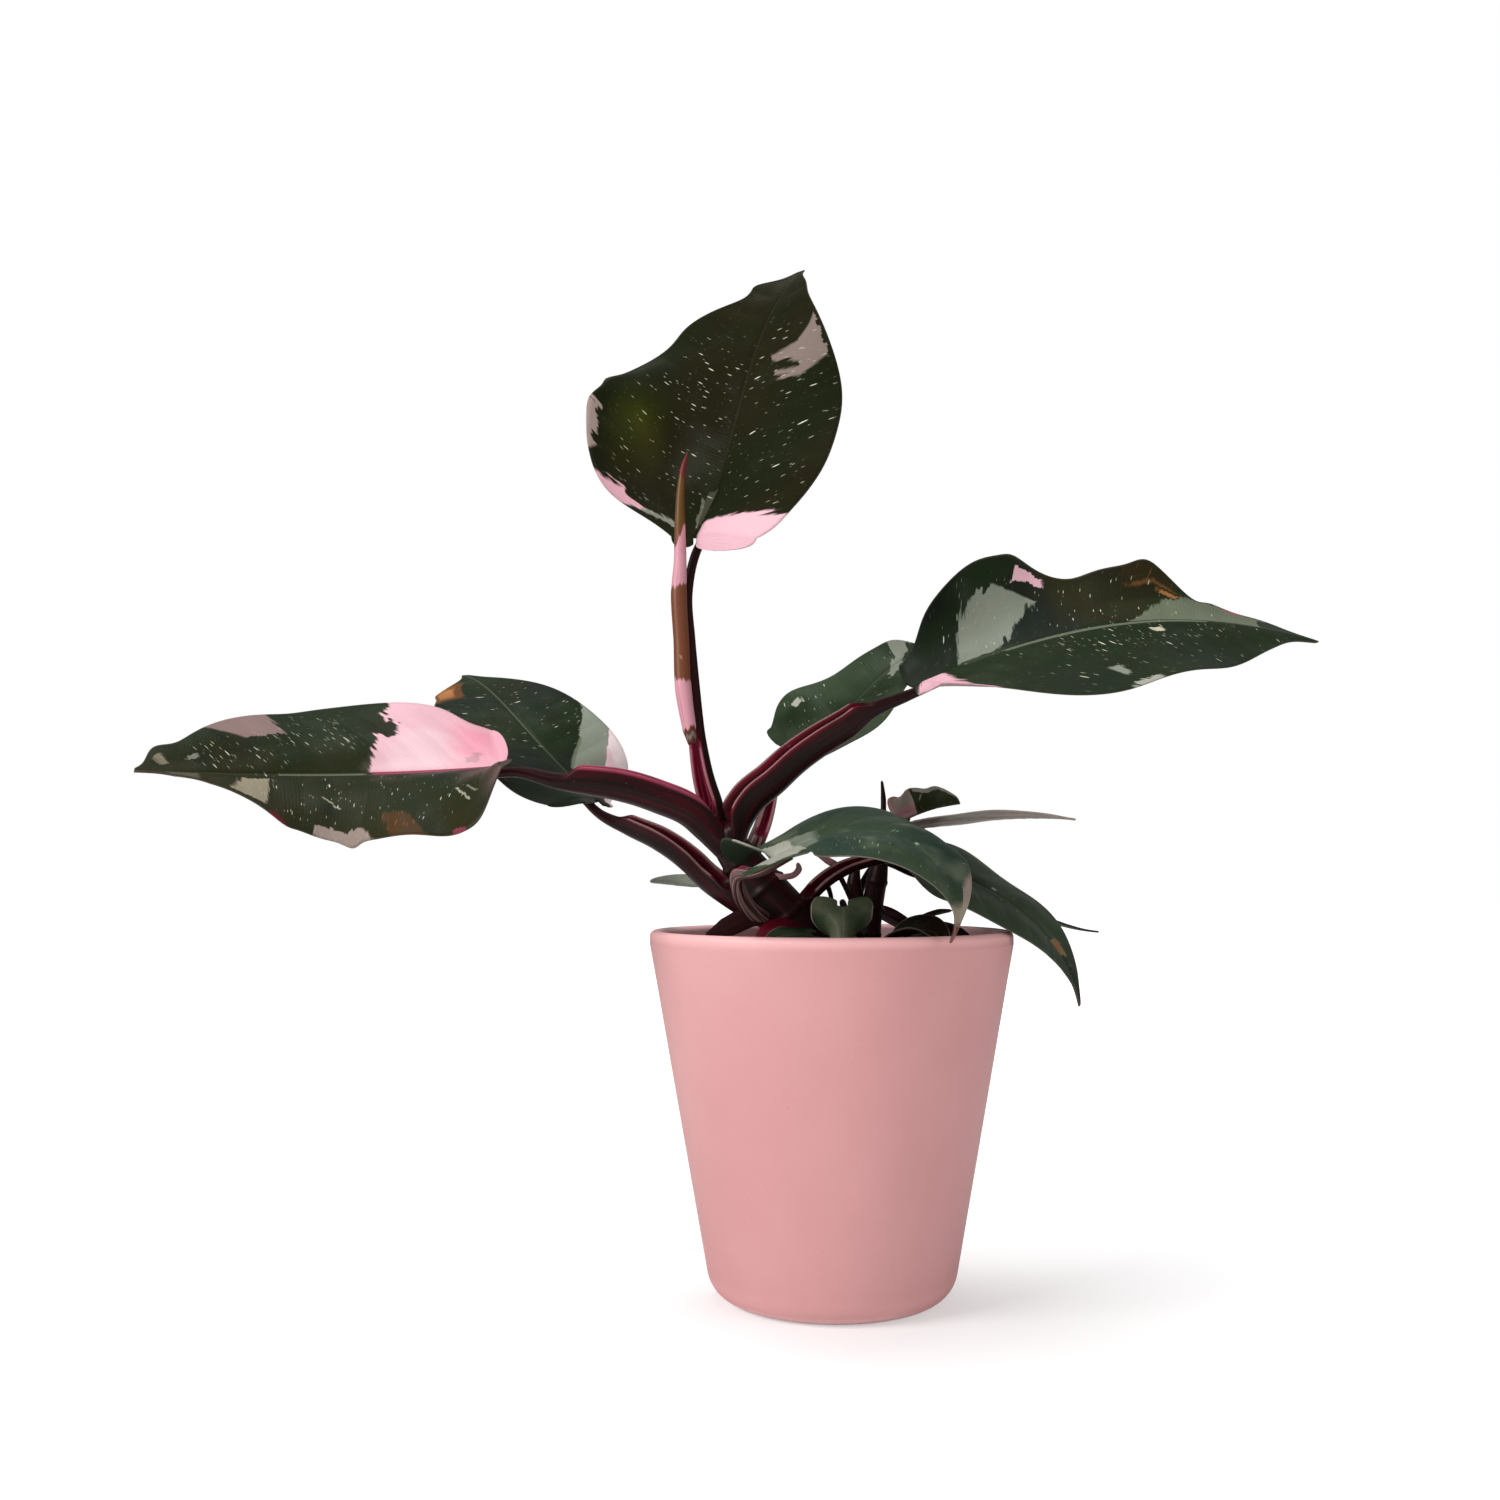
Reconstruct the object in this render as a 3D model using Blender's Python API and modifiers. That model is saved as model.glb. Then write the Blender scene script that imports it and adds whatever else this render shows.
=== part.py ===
"""A pink princess philodendron in a tapered cover pot.

Run with: blender --background --python part.py

Lengths in the tables are millimetres and angles are degrees. Meshes are in metres.
X runs to the right, Y away from the front and Z up. The origin is the middle of the pot's underside.
"""
import math

import bmesh
import bpy
import numpy as np

MM = 0.001
GAP = 0.3

# Pot: a straight tapered cup with an upright band at the rim and a rounded foot.
POT_RIM_RADIUS = 70.0
POT_FOOT_RADIUS = 45.7
POT_HEIGHT = 139.5
POT_WALL = 4.5
POT_FLOOR = 6.0
POT_BAND = 5.0
POT_FOOT_ROUND = 13.0
POT_INNER_ROUND = 6.0
POT_BAND_ROUND = 3.0
POT_LIP_ROUND = 2.2
FOOT_STEPS = 4
EDGE_STEPS = 2
TURN_STEPS = 40

# Soil: it fills the pot to 18 mm below the rim and swells in low lumps.
SOIL_LEVEL = 121.0
SOIL_CROWN = 2.0
SOIL_LUMP = 0.9
SOIL_WAVES = ((0.31, 0.17), (-0.11, 0.23))
SOIL_LEVEL_MARGIN = 8.0
HOLE_SIDES = 24
SOIL_RINGS = (16.0, 32.0, 48.0)
STEM_FOOT = 104.0
HOLE_CLEARANCE = 0.7

# Blades: the outline is the half width, as a share of the widest, at places from attachment to tip.
OUTLINE_PLACES = (0.0, 0.08, 0.18, 0.30, 0.45, 0.60, 0.74, 0.85, 0.92, 1.0)
OUTLINE_WIDTHS = (0.90, 0.97, 1.0, 0.985, 0.90, 0.74, 0.52, 0.29, 0.13, 0.028)
SHOULDER_REACH = 0.2
LOBE_START = 0.12
NARROWEST = 0.3
BLADE_THICK = 0.8
RIB_DEPTH = 2.6
RIB_HALF = 1.2
RIB_HALF_SMALL = 0.8
RIB_TAPER = 0.75
RIB_FADE = 0.9
SINUS_HALF = 3.0
SEAT_DROP = 1.2
RUN_UP = 6.0

# Stalks: a round stalk whose lower part opens into a channelled sheath with two upright wings.
OUTER_ANGLES = (-125.0, -90.0, -45.0, 0.0, 45.0, 90.0, 125.0)
INNER_ANGLES = (45.0, 0.0, -45.0)
WING_LEAN = 0.25
WING_THICK = 1.0
CHANNEL_DEPTH = 0.3


def leaf(at, length, half, heading, pitch, bank, fold, curl, left_wave, right_wave,
         lobe=(4.0, 4.0), shoulder=(1.0, 1.0), droop=(0.0, 0.0), blunt=0.0, rib=RIB_HALF,
         seat=GAP):
    """One blade's measures.

    at is the attachment. heading, pitch and bank are the midrib's angles at its start, middle and tip.
    The pairs are left and right, looking along the blade from its attachment. fold lifts a half at the
    midrib, curl lifts it more towards its margin, and a wave (size, count, phase) lifts it in turns.
    shoulder narrows a half at its base, and droop lowers its basal lobe. blunt rounds the tip. seat is
    how far short of the attachment the stalk ends.
    """
    return dict(at=np.array(at), length=length, half=half, heading=heading, pitch=pitch, bank=bank,
                fold=fold, curl=curl, wave=(left_wave, right_wave), lobe=lobe, shoulder=shoulder,
                droop=droop, blunt=blunt, rib=rib, seat=seat)


LARGE_LEAVES = {
    "leaf_top": leaf(
        at=(-53, 6, 295), length=134, half=(60, 51),
        heading=(8, 38, 41), pitch=(64, 72, 41), bank=(-10, -14, 6),
        fold=(17, 6), curl=(17, -37), left_wave=(32, 1.48, 0.75), right_wave=(7, 1.74, -0.23),
        lobe=(4, 7), shoulder=(0.4, 1), droop=(30, 20)),
    "leaf_left": leaf(
        at=(-128, -12, 202.5), length=138.5, half=(51, 48.5),
        heading=(190, 218, 236), pitch=(-7, -2, -1), bank=(13, 44, 19),
        fold=(18, 7), curl=(-22, -9), left_wave=(12, 1.9, 0.52), right_wave=(23, 0.96, 0.26),
        lobe=(5, 5), shoulder=(0.91, 0.9)),
    "leaf_back_left": leaf(
        at=(-95, 34, 191.5), length=127.5, half=(44, 42.5),
        heading=(160, 125, 125), pitch=(41, 30, 13), bank=(-4, 11, 10),
        fold=(5, 3), curl=(-22, -12), left_wave=(16, 2.25, -0.24), right_wave=(-3, 1.87, 0.31),
        lobe=(4, 4), shoulder=(0.94, 0.43)),
    "leaf_right": leaf(
        at=(35.5, -4, 236), length=179, half=(50.5, 59.5),
        heading=(-0.5, 18.5, 3.5), pitch=(23, 8.5, -15.5), bank=(-13, -35, -34.5),
        fold=(-18.5, -1.5), curl=(66, 12), left_wave=(19, 2.55, -0.46), right_wave=(8, 1.7, 0.41),
        lobe=(3, 6), shoulder=(0.86, 0.93), droop=(0, 10), seat=0.9),
    "leaf_back_right": leaf(
        at=(-15, 36, 213.5), length=84, half=(35, 33.5),
        heading=(15.5, 24, 29.5), pitch=(14.5, 43.5, 3), bank=(-20.5, -12.5, -30.5),
        fold=(17, 9), curl=(-19.5, -10), left_wave=(-19, 1.46, 0.3), right_wave=(5, 2, 0.1),
        lobe=(4, 5), shoulder=(0.7, 1), droop=(14, 0)),
    "leaf_front": leaf(
        at=(-22.5, -45, 168), length=95.5, half=(33.5, 38),
        heading=(22, -30.5, 1), pitch=(25.5, -18, -114), bank=(-13, -19, -13.5),
        fold=(8.5, 17.5), curl=(-39.5, -5.5), left_wave=(-27, 1.41, -0.58), right_wave=(23, 0.6, 0.51),
        lobe=(10.5, 19.5), shoulder=(1.14, 0.89), droop=(-87, -1), seat=1.4),
    "leaf_front_low": leaf(
        at=(30, 2, 168), length=92.5, half=(35, 35.5),
        heading=(-3.5, -7, -8), pitch=(-17.5, -37, -83), bank=(-19, -17, -17),
        fold=(5.5, 7.5), curl=(-17, -15.5), left_wave=(-6, 1.9, 0.4), right_wave=(-2, 1.9, 0.24),
        lobe=(6, 6), shoulder=(1, 0.45)),
}

SMALL_LEAVES = {
    "leaf_young_cupped": leaf(
        at=(29.5, 21, 183.5), length=25, half=(11, 10),
        heading=(8, 4, -6), pitch=(24, 14, 6), bank=(-14, -10, -6),
        fold=(18, 62), curl=(30, 40), left_wave=(18, 2.2, 0.2), right_wave=(24, 2.4, 0.6),
        lobe=(2, 2), blunt=0.8, rib=RIB_HALF_SMALL),
    "leaf_young_narrow": leaf(
        at=(35, 18, 180.3), length=66, half=(10, 10),
        heading=(6, 5, 3), pitch=(10, 3, -7), bank=(11, 12, 8),
        fold=(6, 6), curl=(-8, -8), left_wave=(4, 2, 0.1), right_wave=(3, 2, 0.3),
        lobe=(3, 3), rib=RIB_HALF_SMALL),
    "leaf_low_right": leaf(
        at=(40.5, 34, 161.5), length=77.5, half=(8, 8),
        heading=(7, 7, 6), pitch=(-14, -23, -4), bank=(6, 6, 4),
        fold=(8, 8), curl=(0, 0), left_wave=(3, 2, 0.1), right_wave=(3, 2, 0.3),
        lobe=(3, 3), rib=RIB_HALF_SMALL),
    "leaf_pale_left": leaf(
        at=(-46, 21, 157.5), length=26, half=(6, 6),
        heading=(173, 172, 170), pitch=(5, 2, -3), bank=(22, 22, 20),
        fold=(4, 4), curl=(0, 0), left_wave=(2, 1.5, 0.1), right_wave=(2, 1.5, 0.3),
        lobe=(2, 2), blunt=1, rib=RIB_HALF_SMALL),
    "leaf_heart_hanging": leaf(
        at=(3.5, -22, 149), length=25, half=(13, 13.5),
        heading=(270, 268, 265), pitch=(-52, -72, -84), bank=(0, 0, 0),
        fold=(-8, -6), curl=(-12, -10), left_wave=(146, 0.5, 0.5), right_wave=(142, 0.5, 0.5),
        lobe=(4, 4), rib=RIB_HALF_SMALL),
    "leaf_low_front": leaf(
        at=(-8, -17, 138.5), length=22, half=(7, 8),
        heading=(204, 204, 202), pitch=(6, -8, -26), bank=(20, 26, 20),
        fold=(4, 4), curl=(-20, -20), left_wave=(4, 1.5, 0.1), right_wave=(5, 1.5, 0.4),
        lobe=(3, 3), rib=RIB_HALF_SMALL),
    "leaf_low_narrow": leaf(
        at=(19, 34, 145.5), length=30, half=(5.5, 6.5),
        heading=(-15, -22, -28), pitch=(-12, -34, -40), bank=(-20, -24, -20),
        fold=(12, 12), curl=(6, 6), left_wave=(4, 1.5, 0.1), right_wave=(4, 1.5, 0.4),
        lobe=(2, 2), rib=RIB_HALF_SMALL),
    "leaf_low_curled": leaf(
        at=(24, -7, 135), length=30, half=(9, 9),
        heading=(330, 318, 300), pitch=(42, -5, -70), bank=(-15, -20, -15),
        fold=(14, 14), curl=(24, 30), left_wave=(4, 1.5, 0.1), right_wave=(4, 1.5, 0.4),
        lobe=(3, 3), rib=RIB_HALF_SMALL),
    "leaf_low_round": leaf(
        at=(30.5, 12, 136), length=31, half=(11, 11),
        heading=(6, 2, -4), pitch=(22, -6, -44), bank=(-26, -26, -22),
        fold=(6, 8), curl=(-16, -10), left_wave=(6, 1.5, 0.1), right_wave=(4, 1.5, 0.4),
        lobe=(3, 3), rib=RIB_HALF_SMALL),
}

# Stalks: points from the stem to just short of the blade, each with its radius, then the height of the
# wings, the shares of the length where the sheath opens and closes, the side it opens to, and the blade.
MAIN_STALKS = {
    "top": dict(
        points=[(-44.5, 2, 178), (-47, 3, 189), (-49, 3.5, 196), (-52, 4, 214.5), (-53.5, 4.5, 233),
                (-55, 5, 253.5), (-56, 6, 272)],
        radii=(5.0, 4.9, 4.5, 3.3, 2.6, 2.1, 1.9, 1.8), wings=3.0, sheath=(0.02, 0.1, 0.26, 0.34),
        opens=(-0.5, -1.0, 0.0), blade="leaf_top"),
    "left": dict(
        points=[(-40, 0, 171), (-48.5, -2, 179.8), (-54.5, -4, 185.2), (-66, -6, 190.3),
                (-80, -8.5, 194.5), (-92.5, -10.5, 196), (-103.5, -11.5, 196.5)],
        radii=(5.5, 6.0, 6.2, 6.2, 5.9, 5.0, 3.4, 2.1), wings=6.4, sheath=(0.08, 0.2, 0.62, 0.7),
        opens=(0.0, -0.2, 1.0), blade="leaf_left"),
    "back_left": dict(
        points=[(-30, 2, 147), (-40, 4, 153.5), (-48, 9, 159), (-55, 15, 165.5),
                (-67.5, 23, 174), (-80.5, 30, 179.5)],
        radii=(5.0, 5.0, 4.8, 4.6, 4.2, 3.2, 2.0), wings=5.2, sheath=(0.1, 0.22, 0.72, 0.8),
        opens=(0.2, -0.6, 1.0), blade="leaf_back_left"),
    "right": dict(
        points=[(-40, 0, 170), (-36.5, 0, 182), (-31.5, -1, 190), (-22.5, -2, 197.5), (-14, -2.5, 205),
                (-4, -3, 212), (7, -3.5, 218.5), (16, -4, 224.5)],
        radii=(6.0, 6.4, 6.6, 6.2, 5.8, 5.4, 4.8, 3.2, 2.1), wings=6.5, sheath=(0.06, 0.16, 0.68, 0.76),
        opens=(-0.3, -0.5, 1.0), blade="leaf_right"),
    "back_right": dict(
        points=[(-34, 4, 162), (-29, 13, 173.5), (-25.5, 21, 182.5), (-22.5, 29, 195), (-21.5, 33, 205)],
        radii=(3.6, 3.6, 3.4, 2.8, 2.2, 1.9), wings=2.6, sheath=(0.2, 0.3, 0.62, 0.72),
        opens=(0.3, -1.0, 0.4), blade="leaf_back_right"),
    "front": dict(
        points=[(-24, -3, 142), (-30.5, -12, 147), (-35, -22, 154), (-35.5, -32, 160.5)],
        radii=(3.4, 3.3, 3.0, 2.4, 1.9), wings=2.6, sheath=(0.2, 0.3, 0.6, 0.75),
        opens=(-0.5, 0.4, 0.8), blade="leaf_front"),
    "front_low": dict(
        points=[(-14, 2, 144), (-8.5, 1, 152.5), (-3, 0, 158), (4, 0, 162.5), (13, 1, 165.5)],
        radii=(3.3, 3.3, 3.2, 3.0, 2.4, 2.0), wings=3.0, sheath=(0.15, 0.25, 0.7, 0.82),
        opens=(0.2, -1.0, 0.8), blade="leaf_front_low"),
    "pale_left": dict(
        points=[(-33, 6, 151), (-37, 14, 154.5)],
        radii=(1.6, 1.5, 1.2), wings=0.0,
        blade="leaf_pale_left"),
}

SECOND_STALKS = {
    "young_cupped": dict(
        points=[(21.5, 20, 167), (23.5, 20.5, 178)],
        radii=(1.8, 1.6, 1.2), wings=0.0,
        blade="leaf_young_cupped"),
    "young_narrow": dict(
        points=[(21.5, 20, 166), (23, 19.5, 176), (26.5, 19, 180)],
        radii=(1.8, 1.5, 1.3, 1.0), wings=0.0,
        blade="leaf_young_narrow"),
    "low_right": dict(
        points=[(15.5, 22, 126.5), (13.5, 26.5, 139.5), (14, 26.5, 156), (20.5, 28, 165)],
        radii=(1.9, 1.7, 1.5, 1.4, 1.2), wings=0.0,
        blade="leaf_low_right"),
    "heart_hanging": dict(
        points=[(15.5, 18, 126), (14, 1, 133), (6, -11, 145.5)],
        radii=(1.6, 1.4, 1.3, 1.1), wings=0.0,
        blade="leaf_heart_hanging"),
    "low_front": dict(
        points=[(15.5, 18, 125), (14, 3, 127.5), (4, -12, 131)],
        radii=(1.5, 1.3, 1.2, 1.1), wings=0.0,
        blade="leaf_low_front"),
    "low_narrow": dict(
        points=[(17, 22, 127), (16, 30, 137)],
        radii=(1.5, 1.3, 1.1), wings=0.0,
        blade="leaf_low_narrow"),
    "low_curled": dict(
        points=[(17, 19, 126), (19.5, 5, 128.5)],
        radii=(1.5, 1.3, 1.1), wings=0.0,
        blade="leaf_low_curled"),
    "low_round": dict(
        points=[(18, 20, 126), (24, 15, 129.5)],
        radii=(1.5, 1.3, 1.1), wings=0.0,
        blade="leaf_low_round"),
}

# Limbs: points with their radii, and how flat the section is.
MAIN_STEM = dict(
    points=[(-44, 2, 181), (-41, 2, 175), (-35, 2, 166.5), (-25, 2, 154), (-14, 2, 141.5), (-8, 2, 131),
            (-7, 2, 122), (-7, 2, STEM_FOOT)],
    radii=(4.5, 6.3, 7.8, 9.2, 9.3, 8.8, 8.5, 8.5), sides=14, stations=13)
SECOND_STEM = dict(
    points=[(22, 20, 171), (20, 20, 160), (18, 21, 149), (16.5, 21, 134.5), (16, 21, 123.5),
            (16, 21, STEM_FOOT)],
    radii=(2.4, 4.0, 4.3, 4.4, 4.4, 4.4), sides=12, stations=9)
MAIN_LIMBS = {
    "root_front": dict(points=[(3.5, 4, 161), (7, 6, 154), (10, 4, 145), (10.5, 3, 135), (10.5, 3, 129)],
                       radii=(1.1, 1.0, 0.9, 0.9, 0.6), sides=6, stations=6),
    "root_back": dict(points=[(-1.5, 3, 158), (0.5, 6, 152), (1, 10, 142), (1.5, 12, 130)],
                      radii=(1.1, 0.9, 0.8, 0.6), sides=6, stations=5),
    "bract_pink": dict(points=[(5, 5, 162), (2, 2, 164.5), (-1.5, 0, 166.5), (-5.5, -2, 168.5)],
                       radii=(1.4, 1.8, 1.6, 0.5), sides=6, stations=6, flat=0.5, opens=(0, -1, 0.6)),
    "hook": dict(points=[(-25, 0, 161), (-17.5, -5, 160), (-14, -6, 161), (-12.5, -6, 163),
                         (-13, -5.5, 165.5)],
                 radii=(1.3, 1.2, 1.2, 1.3, 0.6), sides=6, stations=8),
    "scale_brown": dict(points=[(-20, -3, 146), (-31, -9, 145), (-40, -14, 141), (-48, -19, 138)],
                        radii=(4.0, 5.0, 4.4, 0.8), sides=8, stations=7, flat=0.3, opens=(0.2, -1, 0.9)),
    "scale_crimson": dict(points=[(-13, -3, 143), (-18, -9, 141.5), (-24, -12, 140), (-29, -14, 137)],
                          radii=(4.0, 4.6, 3.8, 0.8), sides=8, stations=6, flat=0.35, opens=(0.2, -1, 0.9)),
}
SECOND_LIMBS = {
    "twig": dict(points=[(17.5, 22, 126.5), (27, 29, 134.5), (33.5, 37, 140), (40, 42, 143), (47.5, 46, 145),
                         (53.5, 49, 145.5)],
                 radii=(1.3, 1.1, 1.0, 1.0, 1.3, 0.6), sides=6, stations=9),
    "spike": dict(points=[(22, 20.5, 169), (22.5, 24, 180), (23, 27, 191.5), (22.5, 28, 199)],
                  radii=(1.2, 1.2, 1.1, 0.5), sides=6, stations=6),
    "second_sheath": dict(points=[(16.5, 21, 137), (13, 21, 147), (10.5, 21, 157), (11.5, 20.5, 165)],
                          radii=(2.4, 2.8, 3.0, 1.4), sides=8, stations=6),
}
ROLLED_LEAF = dict(
    points=[(-54, -2, 211.5), (-55, -2, 217), (-57.5, -1.5, 232.5), (-58.5, -0.5, 252.5),
            (-59.5, 0, 271), (-59, 0.5, 284), (-59, -0.5, 300), (-58.5, -1, 314),
            (-57.5, -1.5, 322), (-56, -1.5, 327)],
    radii=(1.6, 2.9, 3.5, 3.3, 3.4, 2.7, 2.3, 1.7, 1.1, 0.4), sides=10, stations=16)

ROWS_LARGE = 11
ROWS_SMALL = 6
LOBE_ROWS = 3
COLUMNS_LARGE = (0.0, 0.06, 0.28, 0.52, 0.77, 1.0)
COLUMNS_SMALL = (0.0, 0.5, 1.0)
STALK_STATIONS = 12
STALKLET_STATIONS = 5
STALKLET_SIDES = 8


def through(points, where=None, count=None):
    """A smooth curve through points, read at shares of its length (0 to 1): a cubic between each pair,
    with the slope at a point set by its two neighbours."""
    points = np.asarray(points, float)
    step = np.linalg.norm(np.diff(points, axis=0), axis=1)
    place = np.concatenate([[0.0], np.cumsum(step)])
    place = place / place[-1]
    where = np.linspace(0, 1, count) if where is None else np.asarray(where, float)
    return hermite(place, points, where)


def hermite(place, values, where):
    """Values at where, between rows of values at rising places, by cubic pieces with matching slopes."""
    place = np.asarray(place, float)
    values = np.asarray(values, float).reshape(len(place), -1)
    slope = np.gradient(values, place, axis=0)
    i = np.clip(np.searchsorted(place, where, side="right") - 1, 0, len(place) - 2)
    width = (place[i + 1] - place[i])[..., None]
    t = ((where - place[i])[..., None]) / width
    return ((1 + 2 * t) * (1 - t) ** 2 * values[i] + t * (1 - t) ** 2 * width * slope[i]
            + t * t * (3 - 2 * t) * values[i + 1] + t * t * (t - 1) * width * slope[i + 1])


def three_point(values, s):
    """A parabola through a value at the start, the middle and the end, read at s (0 to 1)."""
    a, b, c = values
    return a * (1 - s) * (1 - 2 * s) + 4 * b * s * (1 - s) + c * s * (2 * s - 1)


def smooth_step(x, low, high):
    """0 below low, 1 above high, and an even rise between them."""
    t = np.clip((x - low) / (high - low), 0, 1)
    return t * t * (3 - 2 * t)


def unit(v):
    return v / np.linalg.norm(v, axis=-1, keepdims=True)


def midrib(leaf):
    """Points, tangents, right-hand directions and upper-face normals along the midrib, at even steps."""
    s = np.linspace(0, 1, 201)
    heading, pitch, bank = (np.radians(three_point(leaf[k], s)) for k in ("heading", "pitch", "bank"))
    along = np.stack([np.cos(pitch) * np.cos(heading), np.cos(pitch) * np.sin(heading), np.sin(pitch)], 1)
    steps = 0.5 * (along[1:] + along[:-1]) * leaf["length"] / (len(s) - 1)
    points = leaf["at"] + np.concatenate([np.zeros((1, 3)), np.cumsum(steps, axis=0)])
    level = np.stack([np.sin(heading), -np.cos(heading), 0 * heading], 1)
    lifted = np.cross(level, along)
    right = level * np.cos(bank)[:, None] + lifted * np.sin(bank)[:, None]
    return s, points, along, right, np.cross(right, along)


def blade_points(leaf, rows, columns):
    """The upper face as rows of points from the lobes to the tip and from the left to the right margin.

    Each half is laid out as an angle that starts at the fold and grows with the curl and the waves, and
    the distance from the midrib is turned by that angle. Behind the attachment each half ends in half an
    ellipse, the basal lobe, and the two leave a notch between them.
    """
    s_mid, p, t, r, n = midrib(leaf)
    s = np.linspace(0, 1, rows + 1)
    turn = np.linspace(LOBE_START, 1, LOBE_ROWS + 1)[:-1] * math.pi / 2
    back = np.cos(turn)
    columns = np.asarray(columns)
    halves = []
    for k, side in enumerate((-1, 1)):
        width, lobe = leaf["half"][k], leaf["lobe"][k]
        shoulder = 1 - (1 - leaf["shoulder"][k]) * (1 - np.clip(s / SHOULDER_REACH, 0, 1)) ** 2
        share = hermite(OUTLINE_PLACES, OUTLINE_WIDTHS, s)[:, 0]
        rounded = np.sqrt(np.clip(1 - s ** 3, 0.04, 1))
        half = width * shoulder * (share + leaf["blunt"] * (rounded - share))
        rib = leaf["rib"] * (1 - RIB_TAPER * s)
        ahead = rib[:, None] + np.maximum(half - rib, NARROWEST)[:, None] * columns
        middle = 0.5 * half[0]
        reach = middle * np.sin(turn)
        inner = np.maximum(middle - reach, SINUS_HALF * leaf["rib"] / RIB_HALF)
        behind = inner[:, None] + (middle + reach - inner)[:, None] * columns
        across = np.vstack([behind, ahead])
        x = np.concatenate([-back * lobe, s * leaf["length"]])
        place = x / leaf["length"]
        size, count, phase = leaf["wave"][k]
        lift = leaf["curl"][k] + size * np.sin(2 * math.pi * (count * place + phase))
        angle = np.radians(leaf["fold"][k] + lift[:, None] * across / width / 2)
        out, high = across * np.cos(angle), across * np.sin(angle)
        here = np.clip(place, 0, 1)
        centre, right, normal = (np.stack([np.interp(here, s_mid, a[:, j]) for j in range(3)], 1)
                                 for a in (p, r, n))
        behind_by = np.minimum(x, 0)
        centre = centre + behind_by[:, None] * t[0]
        centre = centre + (behind_by * math.sin(math.radians(leaf["droop"][k])))[:, None] * n[0]
        halves.append(centre[:, None] + side * out[..., None] * right[:, None]
                      + high[..., None] * normal[:, None])
    return np.concatenate([halves[0][:, ::-1], halves[1]], axis=1)


def make_object(name, mesh, material, collection):
    body = bpy.data.objects.new(name, mesh)
    collection.objects.link(body)
    mesh.materials.clear()
    mesh.materials.append(material)
    mesh.shade_smooth()
    mesh.set_sharp_from_angle(angle=math.radians(40))
    return body


def make_blade(name, leaf, rows, columns, material, collection):
    """A grid bent into the blade, split into triangles, and given its thickness and rib by Solidify."""
    points = blade_points(leaf, rows, columns)
    row_count, column_count = points.shape[:2]
    middle = column_count // 2 - 1
    bm = bmesh.new()
    bmesh.ops.create_grid(bm, x_segments=column_count - 1, y_segments=row_count - 1, size=1.0)
    bm.verts.ensure_lookup_table()
    weight = bm.verts.layers.deform.verify()
    rows_flat, columns_flat = np.divmod(np.arange(row_count * column_count), column_count)
    notch = []
    for face in bm.faces:
        low = min(v.index for v in face.verts)
        if columns_flat[low] == middle and rows_flat[low] < LOBE_ROWS:
            notch.append(face)
    for vert, row, column in zip(bm.verts, rows_flat, columns_flat):
        vert.co = points[row, column] * MM
        on_rib = column in (middle, middle + 1) and row >= LOBE_ROWS
        share = 1 - RIB_FADE * (row - LOBE_ROWS) / rows
        vert[weight][0] = share if on_rib else 0.0
    bmesh.ops.delete(bm, geom=notch, context="FACES")
    bmesh.ops.triangulate(bm, faces=bm.faces[:], quad_method="SHORT_EDGE")
    mesh = bpy.data.meshes.new(name)
    bm.to_mesh(mesh)
    bm.free()
    body = make_object(name, mesh, material, collection)
    body.vertex_groups.new(name="rib")
    shell = body.modifiers.new("thickness", "SOLIDIFY")
    depth = RIB_DEPTH * leaf["rib"] / RIB_HALF
    shell.thickness = depth * MM
    shell.thickness_vertex_group = BLADE_THICK / depth
    shell.vertex_group = "rib"
    shell.offset = -1.0
    shell.use_quality_normals = True
    return body


def loft(name, rings, material, collection):
    """A closed skin through a row of rings with equally many points, with a flat face at each end."""
    around = rings.shape[1]
    bm = bmesh.new()
    verts = [[bm.verts.new(p * MM) for p in ring] for ring in rings]
    for a, b in zip(verts[:-1], verts[1:]):
        for i in range(around):
            j = (i + 1) % around
            bm.faces.new((a[i], a[j], b[j], b[i]))
    bm.faces.new(verts[0])
    bm.faces.new(verts[-1])
    bmesh.ops.recalc_face_normals(bm, faces=bm.faces[:])
    bmesh.ops.triangulate(bm, faces=bm.faces[:])
    mesh = bpy.data.meshes.new(name)
    bm.to_mesh(mesh)
    bm.free()
    return make_object(name, mesh, material, collection)


def frames(path, opens):
    """Sideways and open-side directions, square to the path at each of its points."""
    along = unit(np.gradient(path, axis=0))
    opens = np.broadcast_to(np.asarray(opens, float), path.shape)
    up = unit(opens - (opens * along).sum(1, keepdims=True) * along)
    return np.cross(along, up), up


def make_limb(name, points, radii, sides, stations, material, collection, flat=1.0, opens=(0.3, -1, 0.2)):
    """A tapering limb of round or flattened section along a smooth curve."""
    path = through(points, count=stations)
    radius = through_radii(points, radii, np.linspace(0, 1, stations))
    side, up = frames(path, opens)
    angle = np.linspace(0, 2 * math.pi, sides, endpoint=False)
    ring_x, ring_z = np.sin(angle), flat * np.cos(angle)
    rings = path[:, None] + radius[:, None, None] * (
        ring_x[None, :, None] * side[:, None] + ring_z[None, :, None] * up[:, None])
    return loft(name, rings, material, collection)


def through_radii(points, radii, where):
    """Radii given at the points of a path, read at shares of its length."""
    step = np.linalg.norm(np.diff(np.asarray(points, float), axis=0), axis=1)
    place = np.concatenate([[0.0], np.cumsum(step)])
    return np.interp(where, place / place[-1], radii)


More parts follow.
